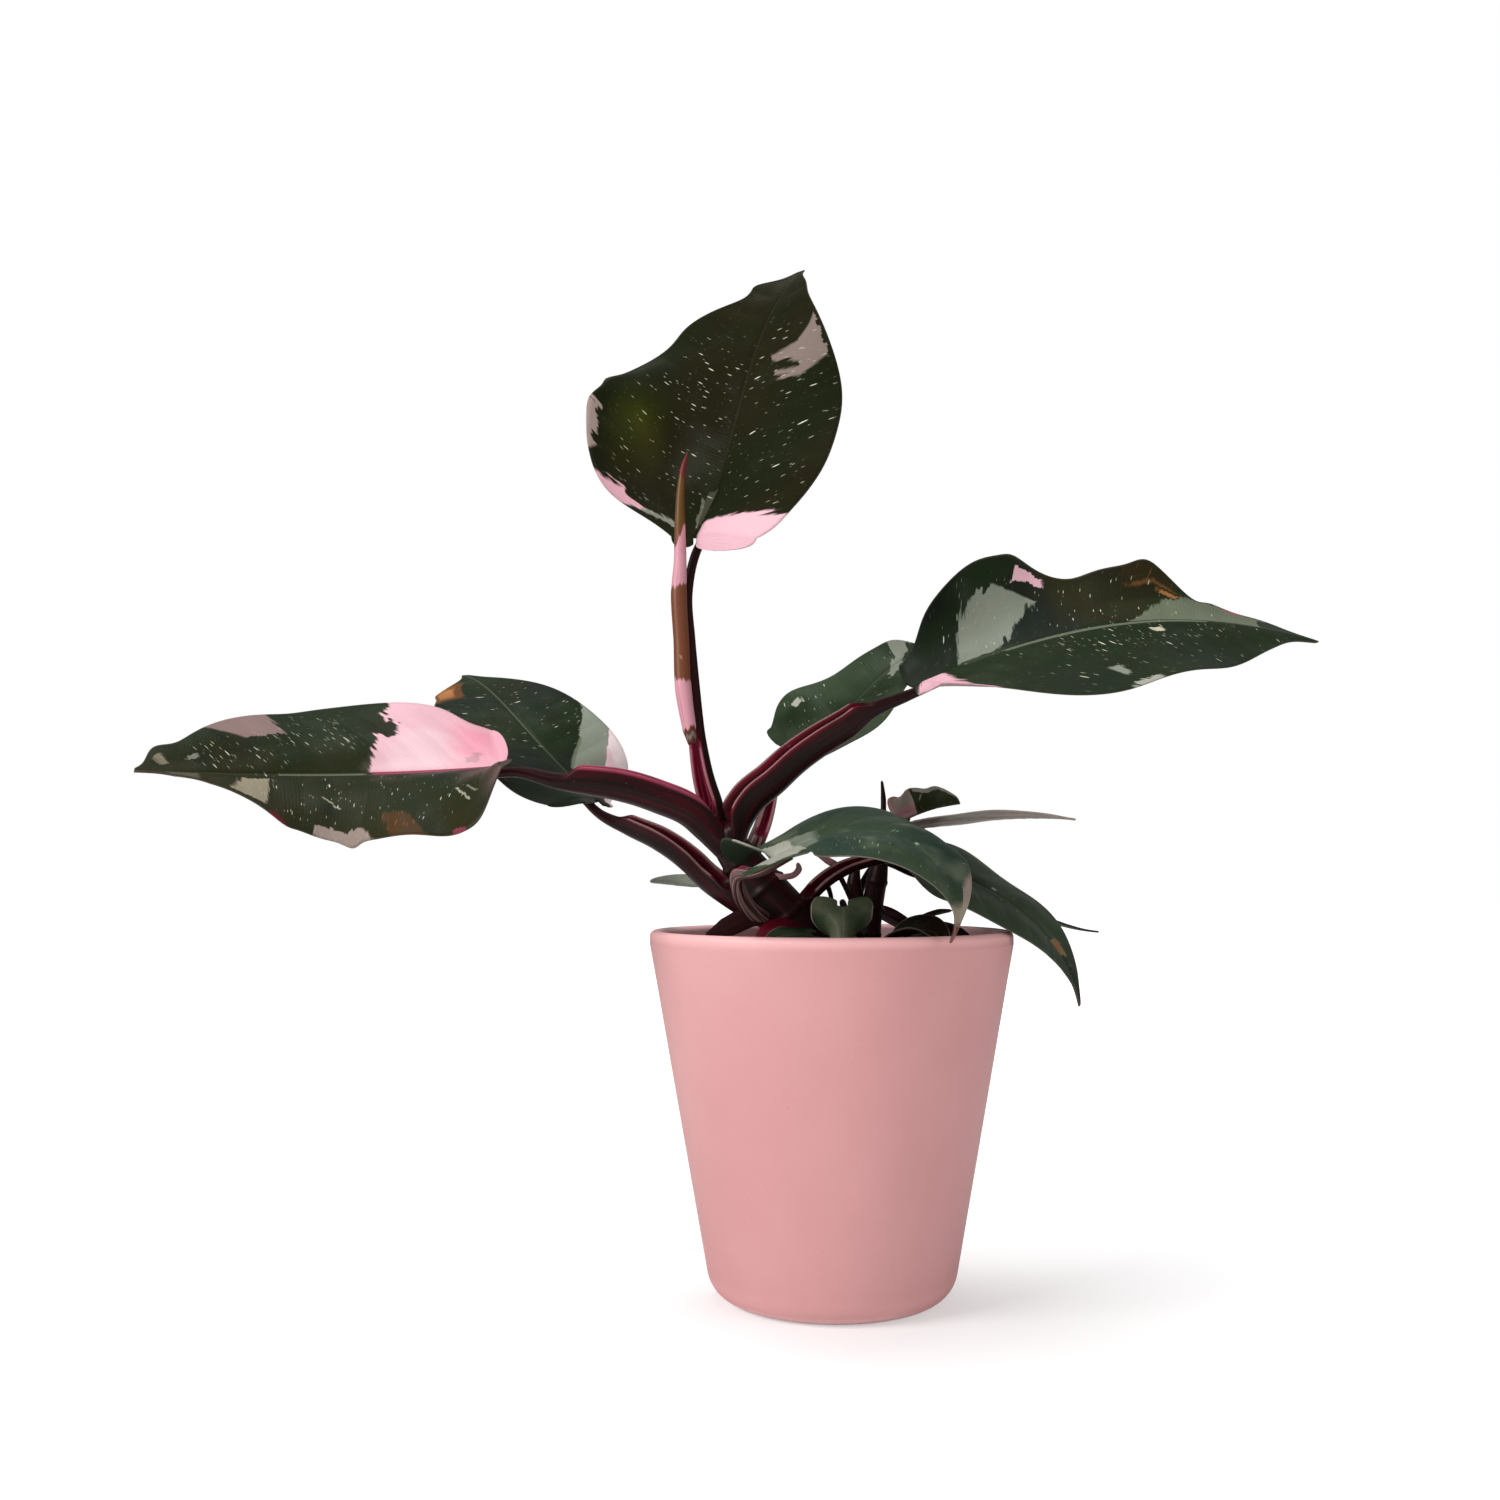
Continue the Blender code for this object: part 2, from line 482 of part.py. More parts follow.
def stalk_path(stalk):
    """The stalk's own points and radii, then two more that bring it up to the blade's rib, face to face."""
    blade = ALL_LEAVES[stalk["blade"]]
    _, p, t, _, n = midrib(blade)
    size = blade["rib"] / RIB_HALF
    end = p[0] - SEAT_DROP * RIB_DEPTH * size * n[0] - blade["seat"] * t[0]
    points = [*stalk["points"], end - RUN_UP * size * t[0], end]
    return points, [*stalk["radii"], blade["rib"]]


def make_stalk(name, stalk, material, collection):
    """A loft of sections that turn from a round stalk into a channelled sheath and back.

    A section's lower outline is an arc. In the sheath its upper ends stand up as two thin wings, and the
    outline between them drops into the channel.
    """
    points, radii = stalk_path(stalk)
    if not stalk["wings"]:
        return make_limb(name, points, radii, STALKLET_SIDES, STALKLET_STATIONS, material, collection)
    s = np.linspace(0, 1, STALK_STATIONS)
    path = through(points, where=s)
    radius = through_radii(points, radii, s)[:, None]
    opening, open_by, closing, closed = stalk["sheath"]
    channel = (smooth_step(s, opening, open_by) * (1 - smooth_step(s, closing, closed)))[:, None]
    outer, inner = np.radians(OUTER_ANGLES), np.radians(INNER_ANGLES)
    rise = np.clip((np.abs(outer) - math.pi / 2) / (outer[-1] - math.pi / 2), 0, 1)
    wing = stalk["wings"] * rise
    sheath_x = radius * np.where(rise > 0, np.sign(outer) * (1 - WING_LEAN * rise), np.sin(outer))
    sheath_z = np.where(rise > 0, wing, -radius * np.cos(outer))
    round_x, round_z = radius * np.sin(outer), -radius * np.cos(outer)
    tip = (1 - WING_LEAN) * radius - WING_THICK
    inner_x = np.concatenate([tip, 0 * tip, -tip], axis=1)
    high = np.full_like(radius, stalk["wings"])
    inner_z = np.concatenate([high, -CHANNEL_DEPTH * radius, high], axis=1)
    x = np.concatenate([round_x + channel * (sheath_x - round_x),
                        radius * np.sin(inner) + channel * (inner_x - radius * np.sin(inner))], axis=1)
    z = np.concatenate([round_z + channel * (sheath_z - round_z),
                        radius * np.cos(inner) + channel * (inner_z - radius * np.cos(inner))], axis=1)
    side, up = frames(path, stalk["opens"])
    rings = path[:, None] + x[..., None] * side[:, None] + z[..., None] * up[:, None]
    return loft(name, rings, material, collection)


def rounded_profile(corners):
    """Corners (radius, height, rounding) as a line whose corners are arcs that touch both sides."""
    line = []
    for i, (r, z, rounding) in enumerate(corners):
        here = np.array([r, z])
        steps = FOOT_STEPS if rounding > POT_INNER_ROUND else EDGE_STEPS
        if not rounding:
            line.append(here)
            continue
        before = unit(np.array(corners[i - 1][:2]) - here)
        after = unit(np.array(corners[i + 1][:2]) - here)
        half = math.acos(float(before @ after)) / 2
        centre = here + unit(before + after) * rounding / math.sin(half)
        start, end = (here + d * rounding / math.tan(half) - centre for d in (before, after))
        sweep = math.pi - 2 * half
        for t in np.linspace(0, 1, steps + 1):
            line.append(centre + (math.sin((1 - t) * sweep) * start + math.sin(t * sweep) * end)
                        / math.sin(sweep))
    return line


def turned(name, profile, material, collection):
    """A profile in the XZ plane, run down its outer side, turned about Z by a Screw modifier."""
    mesh = bpy.data.meshes.new(name)
    verts = [(float(r) * MM, 0.0, float(z) * MM) for r, z in profile]
    mesh.from_pydata(verts, [(i, i + 1) for i in range(len(verts) - 1)], [])
    body = bpy.data.objects.new(name, mesh)
    collection.objects.link(body)
    mesh.materials.append(material)
    screw = body.modifiers.new("turn", "SCREW")
    screw.steps = screw.render_steps = TURN_STEPS
    screw.use_merge_vertices = True
    screw.merge_threshold = 0.00005
    screw.use_smooth_shade = True
    return body


def applied(body):
    """Replace an object's mesh by what its modifiers make of it."""
    mesh = bpy.data.meshes.new_from_object(body.evaluated_get(bpy.context.evaluated_depsgraph_get()))
    mesh.name = body.name
    body.modifiers.clear()
    body.data = mesh
    mesh.shade_smooth()
    mesh.set_sharp_from_angle(angle=math.radians(40))


def boolean(body, operation, helpers):
    """Join or cut a body with every object in a collection."""
    step = body.modifiers.new(operation.lower(), "BOOLEAN")
    step.operation = operation
    step.operand_type = "COLLECTION"
    step.collection = helpers
    step.solver = "EXACT"
    step.use_self = True
    bpy.context.view_layer.update()
    applied(body)
    for helper in list(helpers.objects):
        bpy.data.objects.remove(helper)
    bpy.data.collections.remove(helpers)


def helper_collection(name):
    helpers = bpy.data.collections.new(name)
    bpy.context.scene.collection.children.link(helpers)
    return helpers


def inner_radius(z):
    """The pot's inner radius at a height."""
    share = z / (POT_HEIGHT - POT_BAND)
    return POT_FOOT_RADIUS + (POT_RIM_RADIUS - POT_FOOT_RADIUS) * share - POT_WALL


def make_pot(material, collection):
    corners = [
        (0.0, POT_FLOOR, 0), (inner_radius(POT_FLOOR), POT_FLOOR, POT_INNER_ROUND),
        (inner_radius(POT_HEIGHT - POT_BAND), POT_HEIGHT - POT_BAND, POT_BAND_ROUND),
        (POT_RIM_RADIUS - POT_WALL, POT_HEIGHT, POT_LIP_ROUND),
        (POT_RIM_RADIUS, POT_HEIGHT, POT_LIP_ROUND),
        (POT_RIM_RADIUS, POT_HEIGHT - POT_BAND, POT_BAND_ROUND),
        (POT_FOOT_RADIUS, 0.0, POT_FOOT_ROUND), (0.0, 0.0, 0)]
    return turned("pot", rounded_profile(corners), material, collection)


def make_soil(material, collection):
    """The filling, with a low lumpy surface and a plain round hole for each stem."""
    edge = inner_radius(SOIL_LEVEL) - GAP
    low = POT_FLOOR + GAP
    rings = [(0.0, SOIL_LEVEL + SOIL_CROWN)]
    rings += [(r, SOIL_LEVEL + SOIL_CROWN * math.cos(r / edge * math.pi / 2)) for r in SOIL_RINGS]
    corners = [(edge - 4.0, SOIL_LEVEL, 0), (edge, SOIL_LEVEL - 1.0, 0),
               (inner_radius(low) - GAP, low, POT_INNER_ROUND + 1.0), (0.0, low, 0)]
    body = turned("soil", [*rings, *rounded_profile(corners)], material, collection)
    applied(body)
    first, second = SOIL_WAVES
    for vert in body.data.vertices:
        x, y, z = vert.co / MM
        if z > SOIL_LEVEL - 0.5 and math.hypot(x, y) < edge - SOIL_LEVEL_MARGIN:
            vert.co.z += SOIL_LUMP * MM * math.sin(first[0] * x + first[1] * y) * math.cos(
                second[0] * x + second[1] * y)
    holes = helper_collection("cutters")
    for stem in (MAIN_STEM, SECOND_STEM):
        x, y, z = stem["points"][-1]
        depth = 2 * (SOIL_LEVEL - STEM_FOOT) + 2 * GAP
        bpy.ops.mesh.primitive_cylinder_add(
            vertices=HOLE_SIDES, radius=(stem["radii"][-1] + HOLE_CLEARANCE) * MM, depth=depth * MM,
            location=(x * MM, y * MM, (STEM_FOOT - GAP + depth / 2) * MM))
        hole = bpy.context.object
        hole.hide_render = True
        hole.display_type = "WIRE"
        for owner in list(hole.users_collection):
            owner.objects.unlink(hole)
        holes.objects.link(hole)
    boolean(body, "DIFFERENCE", holes)
    return body


def make_stem(name, stem, stalks, limbs, material, collection):
    """A stem with its stalks and small limbs grown into one solid."""
    grown = helper_collection(name + "_growth")
    for key, stalk in stalks.items():
        make_stalk(f"{name}_{key}", stalk, material, grown)
    for key, limb in limbs.items():
        make_limb(f"{name}_{key}", material=material, collection=grown, **limb)
    body = make_limb(name, material=material, collection=collection, **stem)
    boolean(body, "UNION", grown)
    return body


def make_material(name, colour, roughness):
    material = bpy.data.materials.new(name)
    material.use_nodes = True
    shader = material.node_tree.nodes["Principled BSDF"]
    shader.inputs["Base Color"].default_value = (*colour, 1.0)
    shader.inputs["Roughness"].default_value = roughness
    shader.inputs["Metallic"].default_value = 0.0
    material.diffuse_color = (*colour, 1.0)
    return material


def main():
    for thing in list(bpy.data.objects):
        bpy.data.objects.remove(thing)
    plant = bpy.data.collections.new("pink_princess_philodendron")
    bpy.context.scene.collection.children.link(plant)
    pot = make_material("matte_pink_pot", (0.70, 0.36, 0.36), 0.7)
    soil = make_material("potting_soil", (0.035, 0.02, 0.012), 0.95)
    stem = make_material("maroon_stalk", (0.05, 0.008, 0.014), 0.35)
    blade = make_material("dark_green_blade", (0.022, 0.04, 0.02), 0.35)
    young = make_material("rolled_young_leaf", (0.22, 0.06, 0.04), 0.4)
    make_pot(pot, plant)
    make_soil(soil, plant)
    make_stem("stem_main", MAIN_STEM, MAIN_STALKS, MAIN_LIMBS, stem, plant)
    make_stem("stem_second", SECOND_STEM, SECOND_STALKS, SECOND_LIMBS, stem, plant)
    make_limb("leaf_rolled", material=young, collection=plant, **ROLLED_LEAF)
    for name, measures in LARGE_LEAVES.items():
        make_blade(name, measures, ROWS_LARGE, COLUMNS_LARGE, blade, plant)
    for name, measures in SMALL_LEAVES.items():
        make_blade(name, measures, ROWS_SMALL, COLUMNS_SMALL, blade, plant)


ALL_LEAVES = {**LARGE_LEAVES, **SMALL_LEAVES}
main()
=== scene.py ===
# %% [markdown]
# # A pink princess philodendron in its pot
#
# The plant stands in a matte pink cup. Its blades are dark green with pink, cream and grey patches, and its
# stalks are nearly black with crimson edges. A plain solid model of the whole plant is the fixed frame of
# this lesson. Each step puts a finer surface in the place of one of its solids, at the same size and place,
# and gives it a finish. The surfaces are worked out with numpy, so each form is a short formula.

# %% Load the frame
import math

import bpy
import numpy as np
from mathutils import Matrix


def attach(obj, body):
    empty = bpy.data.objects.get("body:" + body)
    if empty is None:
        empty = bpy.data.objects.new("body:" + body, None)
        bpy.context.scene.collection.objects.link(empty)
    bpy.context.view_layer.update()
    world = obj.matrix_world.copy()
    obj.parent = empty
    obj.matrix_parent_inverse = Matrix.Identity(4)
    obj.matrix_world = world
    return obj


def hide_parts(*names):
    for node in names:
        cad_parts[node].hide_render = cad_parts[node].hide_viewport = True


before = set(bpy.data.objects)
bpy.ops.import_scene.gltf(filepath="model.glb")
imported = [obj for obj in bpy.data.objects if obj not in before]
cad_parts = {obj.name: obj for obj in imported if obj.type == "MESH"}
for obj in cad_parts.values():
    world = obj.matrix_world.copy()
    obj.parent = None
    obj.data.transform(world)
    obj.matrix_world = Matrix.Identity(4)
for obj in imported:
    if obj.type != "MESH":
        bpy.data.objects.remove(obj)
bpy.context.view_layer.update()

MM = 0.001

# %% [markdown]
# ## Camera
#
# The picture is taken from about 62 cm, just above the pot's rim, with the camera tilted up a little, so the
# rim is seen as a thin ellipse and the upper leaves from below. The lens is given for a 36 mm wide picture.

# %% Camera
CAMERA_PLACE = (-31.3, -622.5, 165.2)
CAMERA_TILT = 4.06
LENS = 38.3

lens = bpy.data.cameras.new("camera")
lens.lens = LENS
lens.sensor_width = 36.0
camera = bpy.data.objects.new("camera", lens)
camera.location = [c * MM for c in CAMERA_PLACE]
camera.rotation_euler = (math.radians(90 + CAMERA_TILT), 0, 0)
bpy.context.scene.collection.objects.link(camera)
bpy.context.scene.camera = camera
bpy.context.scene.view_settings.view_transform = "Standard"

# %% Helpers for curves
def hermite(place, values, where):
    """Values at where, between rows of values at rising places, by cubic pieces with matching slopes."""
    place = np.asarray(place, float)
    values = np.asarray(values, float).reshape(len(place), -1)
    slope = np.gradient(values, place, axis=0)
    i = np.clip(np.searchsorted(place, where, side="right") - 1, 0, len(place) - 2)
    width = (place[i + 1] - place[i])[..., None]
    t = ((where - place[i])[..., None]) / width
    return ((1 + 2 * t) * (1 - t) ** 2 * values[i] + t * (1 - t) ** 2 * width * slope[i]
            + t * t * (3 - 2 * t) * values[i + 1] + t * t * (t - 1) * width * slope[i + 1])


def path_places(points):
    """How far along a path each of its points lies, as a share of the whole."""
    step = np.linalg.norm(np.diff(np.asarray(points, float), axis=0), axis=1)
    place = np.concatenate([[0.0], np.cumsum(step)])
    return place / place[-1]


def three_point(values, s):
    """A parabola through a value at the start, the middle and the end, read at s (0 to 1)."""
    a, b, c = values
    return a * (1 - s) * (1 - 2 * s) + 4 * b * s * (1 - s) + c * s * (2 * s - 1)


def smooth_step(x, low, high):
    """0 below low, 1 above high, and an even rise between them."""
    t = np.clip((x - low) / (high - low), 0, 1)
    return t * t * (3 - 2 * t)


def unit(v):
    return v / np.linalg.norm(v, axis=-1, keepdims=True)


def frames(path, opens):
    """Sideways and open-side directions, square to the path at each of its points."""
    along = unit(np.gradient(path, axis=0))
    opens = np.broadcast_to(np.asarray(opens, float), path.shape)
    up = unit(opens - (opens * along).sum(1, keepdims=True) * along)
    return np.cross(along, up), up


# %% [markdown]
# ## From points to a piece
#
# Every surface here is a grid of points. The helpers below turn such a grid into quads, find the direction
# of the surface at each point, close a sheet by a second layer and a rim, and store what the finishes need
# to know at each point, such as how far along the blade it lies. The volume of a closed mesh is positive only
# if its faces point outwards, so that one number tells whether the faces must be turned over.

# %% Helpers for meshes
def grid_quads(index):
    """Quads between neighbours in a table of point numbers."""
    return np.stack([index[:-1, :-1], index[1:, :-1], index[1:, 1:], index[:-1, 1:]], -1).reshape(-1, 4)


def ring_quads(rings, around, first=0):
    """Quads of a skin through rings of equally many points."""
    index = first + np.arange(rings * around).reshape(rings, around)
    return grid_quads(np.concatenate([index, index[:, :1]], axis=1))


def point_normals(points, quads):
    """The mean direction of the faces round each point, from each quad's two diagonals."""
    a, b, c, d = (points[quads[:, k]] for k in range(4))
    face = np.cross(c - a, d - b)
    total = np.zeros_like(points)
    for k in range(4):
        np.add.at(total, quads[:, k], face)
    return unit(total + 1e-12)


def close_sheet(points, quads, depth, normals):
    """A second layer at a depth below the sheet, and a rim of quads along the edges that it leaves open."""
    count = len(points)
    starts = quads.ravel()
    ends = np.roll(quads, -1, axis=1).ravel()
    open_edge = ~np.isin(starts * count + ends, ends * count + starts)
    a, b = starts[open_edge], ends[open_edge]
    rim = np.stack([b, a, a + count, b + count], 1)
    below = points - normals * np.asarray(depth)[..., None]
    return np.concatenate([points, below]), np.concatenate([quads, quads[:, ::-1] + count, rim])


def facing_out(points, quads, triangles):
    """The same faces, turned over if the volume that they enclose comes out negative."""
    corners = [quads[:, (0, 1, 2)], quads[:, (0, 2, 3)], triangles]
    a, b, c = (points[np.concatenate(corners)[:, k]] for k in range(3))
    if (a * np.cross(b, c)).sum() < 0:
        return quads[:, ::-1], triangles[:, ::-1]
    return quads, triangles


def make_piece(name, points, quads, material, replaces=(), triangles=(), notes=None):
    """A mesh object from points in millimetres that rides with the plant and has its notes as attributes."""
    triangles = np.asarray(triangles, int).reshape(-1, 3)
    quads, triangles = facing_out(points, quads, triangles)
    mesh = bpy.data.meshes.new(name)
    mesh.from_pydata((points * MM).tolist(), [], quads.tolist() + triangles.tolist())
    for label, values in (notes or {}).items():
        layer = mesh.attributes.new(label, "FLOAT_VECTOR", "POINT")
        layer.data.foreach_set("vector", np.asarray(values, np.float32).ravel())
    mesh.shade_smooth()
    mesh.materials.append(material)
    piece = bpy.data.objects.new(name, mesh)
    bpy.context.scene.collection.objects.link(piece)
    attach(piece, "root")
    if replaces:
        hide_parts(*replaces)
    return piece


# %% [markdown]
# ## Wiring for the finishes
#
# A finish is a network of nodes, and a network is easier to read as a formula. This small helper adds a node,
# joins or fills its sockets and hands back its output, so that one line of code is one step of the formula.
# Colours are named once, as they would be on a paint chart, and turned from screen values into light.

# %% Wiring and colours
class Wiring:
    """Adds nodes to a tree and joins them."""

    def __init__(self, tree):
        self.tree = tree

    def put(self, kind, **settings):
        node = self.tree.nodes.new(kind)
        for label, value in settings.items():
            setattr(node, label, value)
        return node

    def plug(self, socket, value):
        if isinstance(value, bpy.types.NodeSocket):
            self.tree.links.new(value, socket)
        else:
            socket.default_value = value

    def maths(self, operation, *values, clamp=False):
        node = self.put("ShaderNodeMath", operation=operation, use_clamp=clamp)
        for socket, value in zip(node.inputs, values):
            self.plug(socket, value)
        return node.outputs[0]

    def step(self, value, low, high):
        node = self.put("ShaderNodeMapRange", interpolation_type="SMOOTHSTEP")
        for label, given in (("Value", value), ("From Min", low), ("From Max", high)):
            self.plug(node.inputs[label], given)
        return node.outputs["Result"]

    def mix(self, share, first, second, blend="MIX"):
        node = self.put("ShaderNodeMix", data_type="RGBA", blend_type=blend)
        for place, value in ((0, share), (6, first), (7, second)):
            self.plug(node.inputs[place], value)
        return node.outputs[2]

    def vector(self, x, y, z):
        node = self.put("ShaderNodeCombineXYZ")
        for socket, value in zip(node.inputs, (x, y, z)):
            self.plug(socket, value)
        return node.outputs[0]

    def parts(self, vector):
        node = self.put("ShaderNodeSeparateXYZ")
        self.plug(node.inputs[0], vector)
        return node.outputs

    def noise(self, vector, scale, detail=2.0, output="Fac"):
        node = self.put("ShaderNodeTexNoise")
        self.plug(node.inputs["Vector"], vector)
        self.plug(node.inputs["Scale"], scale)
        self.plug(node.inputs["Detail"], detail)
        return node.outputs[output]

    def note(self, label):
        return self.put("ShaderNodeAttribute", attribute_name=label).outputs["Vector"]

    def place(self):
        return self.put("ShaderNodeTexCoord").outputs["Object"]

    def group(self, tree, **values):
        node = self.put("ShaderNodeGroup", node_tree=tree)
        for label, value in values.items():
            self.plug(node.inputs[label.replace("_", " ")], value)
        return node.outputs


def chart(*screen):
    """A colour given as on screen, 0 to 255, as light for the shader."""
    light = [((v / 255 + 0.055) / 1.055) ** 2.4 if v > 10 else v / 255 / 12.92 for v in screen]
    return (*light, 1.0)


COLOURS = {
    "deep_green": chart(29, 41, 22),
    "olive": chart(42, 41, 22),
    "dark_olive": chart(33, 34, 18),
    "teal_black": chart(27, 34, 28),
    "night_green": chart(25, 30, 15),
    "night_olive": chart(31, 29, 15),
    "mid_green": chart(52, 66, 46),
    "sea_green": chart(40, 56, 48),
    "light_green": chart(128, 150, 116),
    "glow_green": chart(78, 80, 16),
    "grey_green": chart(132, 138, 124),
    "soft_green": chart(104, 112, 92),
    "grey_white": chart(176, 176, 162),
    "grey": chart(130, 118, 116),
    "grey_pink": chart(158, 140, 132),
    "taupe": chart(126, 112, 104),
    "mauve": chart(148, 122, 120),
    "pink": chart(226, 174, 186),
    "pale_pink": chart(220, 174, 184),
    "blush_white": chart(232, 214, 214),
    "blush": chart(222, 112, 142),
    "crimson_pink": chart(168, 62, 92),
    "crimson": chart(104, 14, 34),
    "wine": chart(62, 12, 20),
    "maroon": chart(48, 20, 22),
    "under_red": chart(90, 50, 46),
    "sage": chart(122, 122, 100),
    "black_maroon": chart(26, 17, 15),
    "burnt": chart(104, 66, 36),
    "amber": chart(190, 124, 70),
    "rust": chart(150, 84, 42),
    "tan": chart(150, 122, 78),
    "beige": chart(160, 150, 128),
    "cream": chart(220, 216, 190),
    "roll_brown": chart(112, 64, 42),
    "roll_olive": chart(98, 68, 30),
    "roll_pink": chart(206, 146, 158),
}


def new_material(name, roughness, specular=0.5):
    material = bpy.data.materials.new(name)
    material.use_nodes = True
    wiring = Wiring(material.node_tree)
    shader = material.node_tree.nodes["Principled BSDF"]
    shader.inputs["Roughness"].default_value = roughness
    shader.inputs["Specular IOR Level"].default_value = specular
    return material, wiring, shader


def new_group(name, inputs, outputs):
    """An empty node group with the named number or vector inputs and outputs."""
    tree = bpy.data.node_groups.new(name, "ShaderNodeTree")
    for label, kind in inputs.items():
        tree.interface.new_socket(label, in_out="INPUT", socket_type=kind)
    for label, kind in outputs.items():
        tree.interface.new_socket(label, in_out="OUTPUT", socket_type=kind)
    wiring = Wiring(tree)
    given = wiring.put("NodeGroupInput").outputs
    results = wiring.put("NodeGroupOutput").inputs
    return tree, wiring, given, results


NUMBER = "NodeSocketFloat"
VECTOR = "NodeSocketVector"

# %% [markdown]
# ## Floor and light
#
# A plant for a shop picture stands on white paper in a white room, but the room behind the camera is dim.
# That keeps the dark leaves dark: they mirror the dim side, and show only the soft boxes as highlights. So
# the floor and the room are white to the eye and dim as a light. The floor glows a little more further out,
# where the lamps no longer reach, and what is left near the pot is its soft grey shadow.

# %% Floor and light
FLOOR_RADIUS = 6.0
PAPER = 0.7
PAPER_GLOW_NEAR = 0.42
PAPER_GLOW_FAR = 1.0
ROOM_LIGHT = 0.2


def make_floor():
    """A round sheet of paper. Only the camera sees its glow, so the glow lights nothing."""
    turn = np.linspace(0, 2 * math.pi, 64, endpoint=False)
    mesh = bpy.data.meshes.new("studio_paper")
    points = np.stack([FLOOR_RADIUS * np.cos(turn), FLOOR_RADIUS * np.sin(turn), 0 * turn], 1)
    mesh.from_pydata(points.tolist(), [], [list(range(64))])
    material, w, shader = new_material("studio_paper", 0.9, 0.1)
    shader.inputs["Base Color"].default_value = (PAPER, PAPER, PAPER, 1)
    shader.inputs["Emission Color"].default_value = (1, 1, 1, 1)
    away = w.put("ShaderNodeVectorMath", operation="LENGTH")
    w.plug(away.inputs[0], w.place())
    glow = w.maths("MULTIPLY_ADD", w.step(away.outputs["Value"], 0.25, 1.5), PAPER_GLOW_FAR - PAPER_GLOW_NEAR,
                   PAPER_GLOW_NEAR)
    seen = w.put("ShaderNodeLightPath").outputs["Is Camera Ray"]
    w.plug(shader.inputs["Emission Strength"], w.maths("MULTIPLY", glow, seen))
    mesh.materials.append(material)
    floor = bpy.data.objects.new("studio_paper", mesh)
    bpy.context.scene.collection.objects.link(floor)


def make_light(name, place, target, size, power, mirrored=True):
    """A square area light that looks from its place to its target. Leaves show its image if mirrored."""
    lamp = bpy.data.lights.new(name, "AREA")
    lamp.size = size
    lamp.energy = power
    body = bpy.data.objects.new(name, lamp)
    body.location = place
    body.visible_glossy = mirrored
    direction = np.array(place) - np.array(target)
    body.rotation_euler = (math.acos(direction[2] / np.linalg.norm(direction)), 0,
                           math.atan2(direction[1], direction[0]) + math.pi / 2)
    bpy.context.scene.collection.objects.link(body)


make_floor()
make_light("key", (-1.4, -0.9, 0.9), (0, 0, 0.2), 0.9, 25)
make_light("fill", (1.3, -1.0, 0.5), (0, 0, 0.2), 1.0, 6, mirrored=False)
make_light("top", (-0.1, 0.2, 1.6), (0, 0, 0.2), 1.0, 17, mirrored=False)
make_light("glint", (-0.2, 0.5, 1.5), (0, 0, 0.2), 0.35, 0.8)
make_light("back", (0.5, 1.5, 0.8), (0, 0, 0.2), 1.2, 4, mirrored=False)
make_light("low", (0.0, -1.1, 0.2), (0, 0, 0.02), 0.35, 1.9, mirrored=False)

world = bpy.data.worlds.new("studio")
bpy.context.scene.world = world
world.use_nodes = True
room = Wiring(world.node_tree)
backdrop = world.node_tree.nodes["Background"]
backdrop.inputs["Color"].default_value = (1, 1, 1, 1)
seen = room.put("ShaderNodeLightPath").outputs["Is Camera Ray"]
room.plug(backdrop.inputs["Strength"], room.maths("MULTIPLY_ADD", seen, 1.0 - ROOM_LIGHT, ROOM_LIGHT))

# %% [markdown]
# ## The measures of the blades
#
# A blade is a heart-shaped sheet that hangs on its midrib. Its measures are the place where the stalk meets
# it, its length, the half widths, and three angles of the midrib at its start, middle and tip. Each half then
# has a fold at the midrib, a curl towards the margin and a slow wave. The same few numbers gave the plain
# solids, so the fine blades fall into the same place.

# %% Table of blades
OUTLINE_PLACES = (0.0, 0.08, 0.18, 0.30, 0.45, 0.60, 0.74, 0.85, 0.92, 1.0)
OUTLINE_WIDTHS = (0.90, 0.97, 1.0, 0.985, 0.90, 0.74, 0.52, 0.29, 0.13, 0.028)
SHOULDER_REACH = 0.2
RIB_DEPTH = 2.6
RIB_HALF = 1.2
RIB_HALF_SMALL = 0.8
RIB_TAPER = 0.75
RIB_FADE = 0.9
SINUS_HALF = 3.0
SEAT_DROP = 1.2


def leaf(at, length, half, heading, pitch, bank, fold, curl, left_wave, right_wave,
         lobe=(4.0, 4.0), shoulder=(1.0, 1.0), droop=(0.0, 0.0), blunt=0.0, rib=RIB_HALF):
    """One blade's measures, in millimetres and degrees. Pairs are left and right of the midrib."""
    return dict(at=np.array(at), length=length, half=half, heading=heading, pitch=pitch, bank=bank,
                fold=fold, curl=curl, wave=(left_wave, right_wave), lobe=lobe, shoulder=shoulder,
                droop=droop, blunt=blunt, rib=rib)


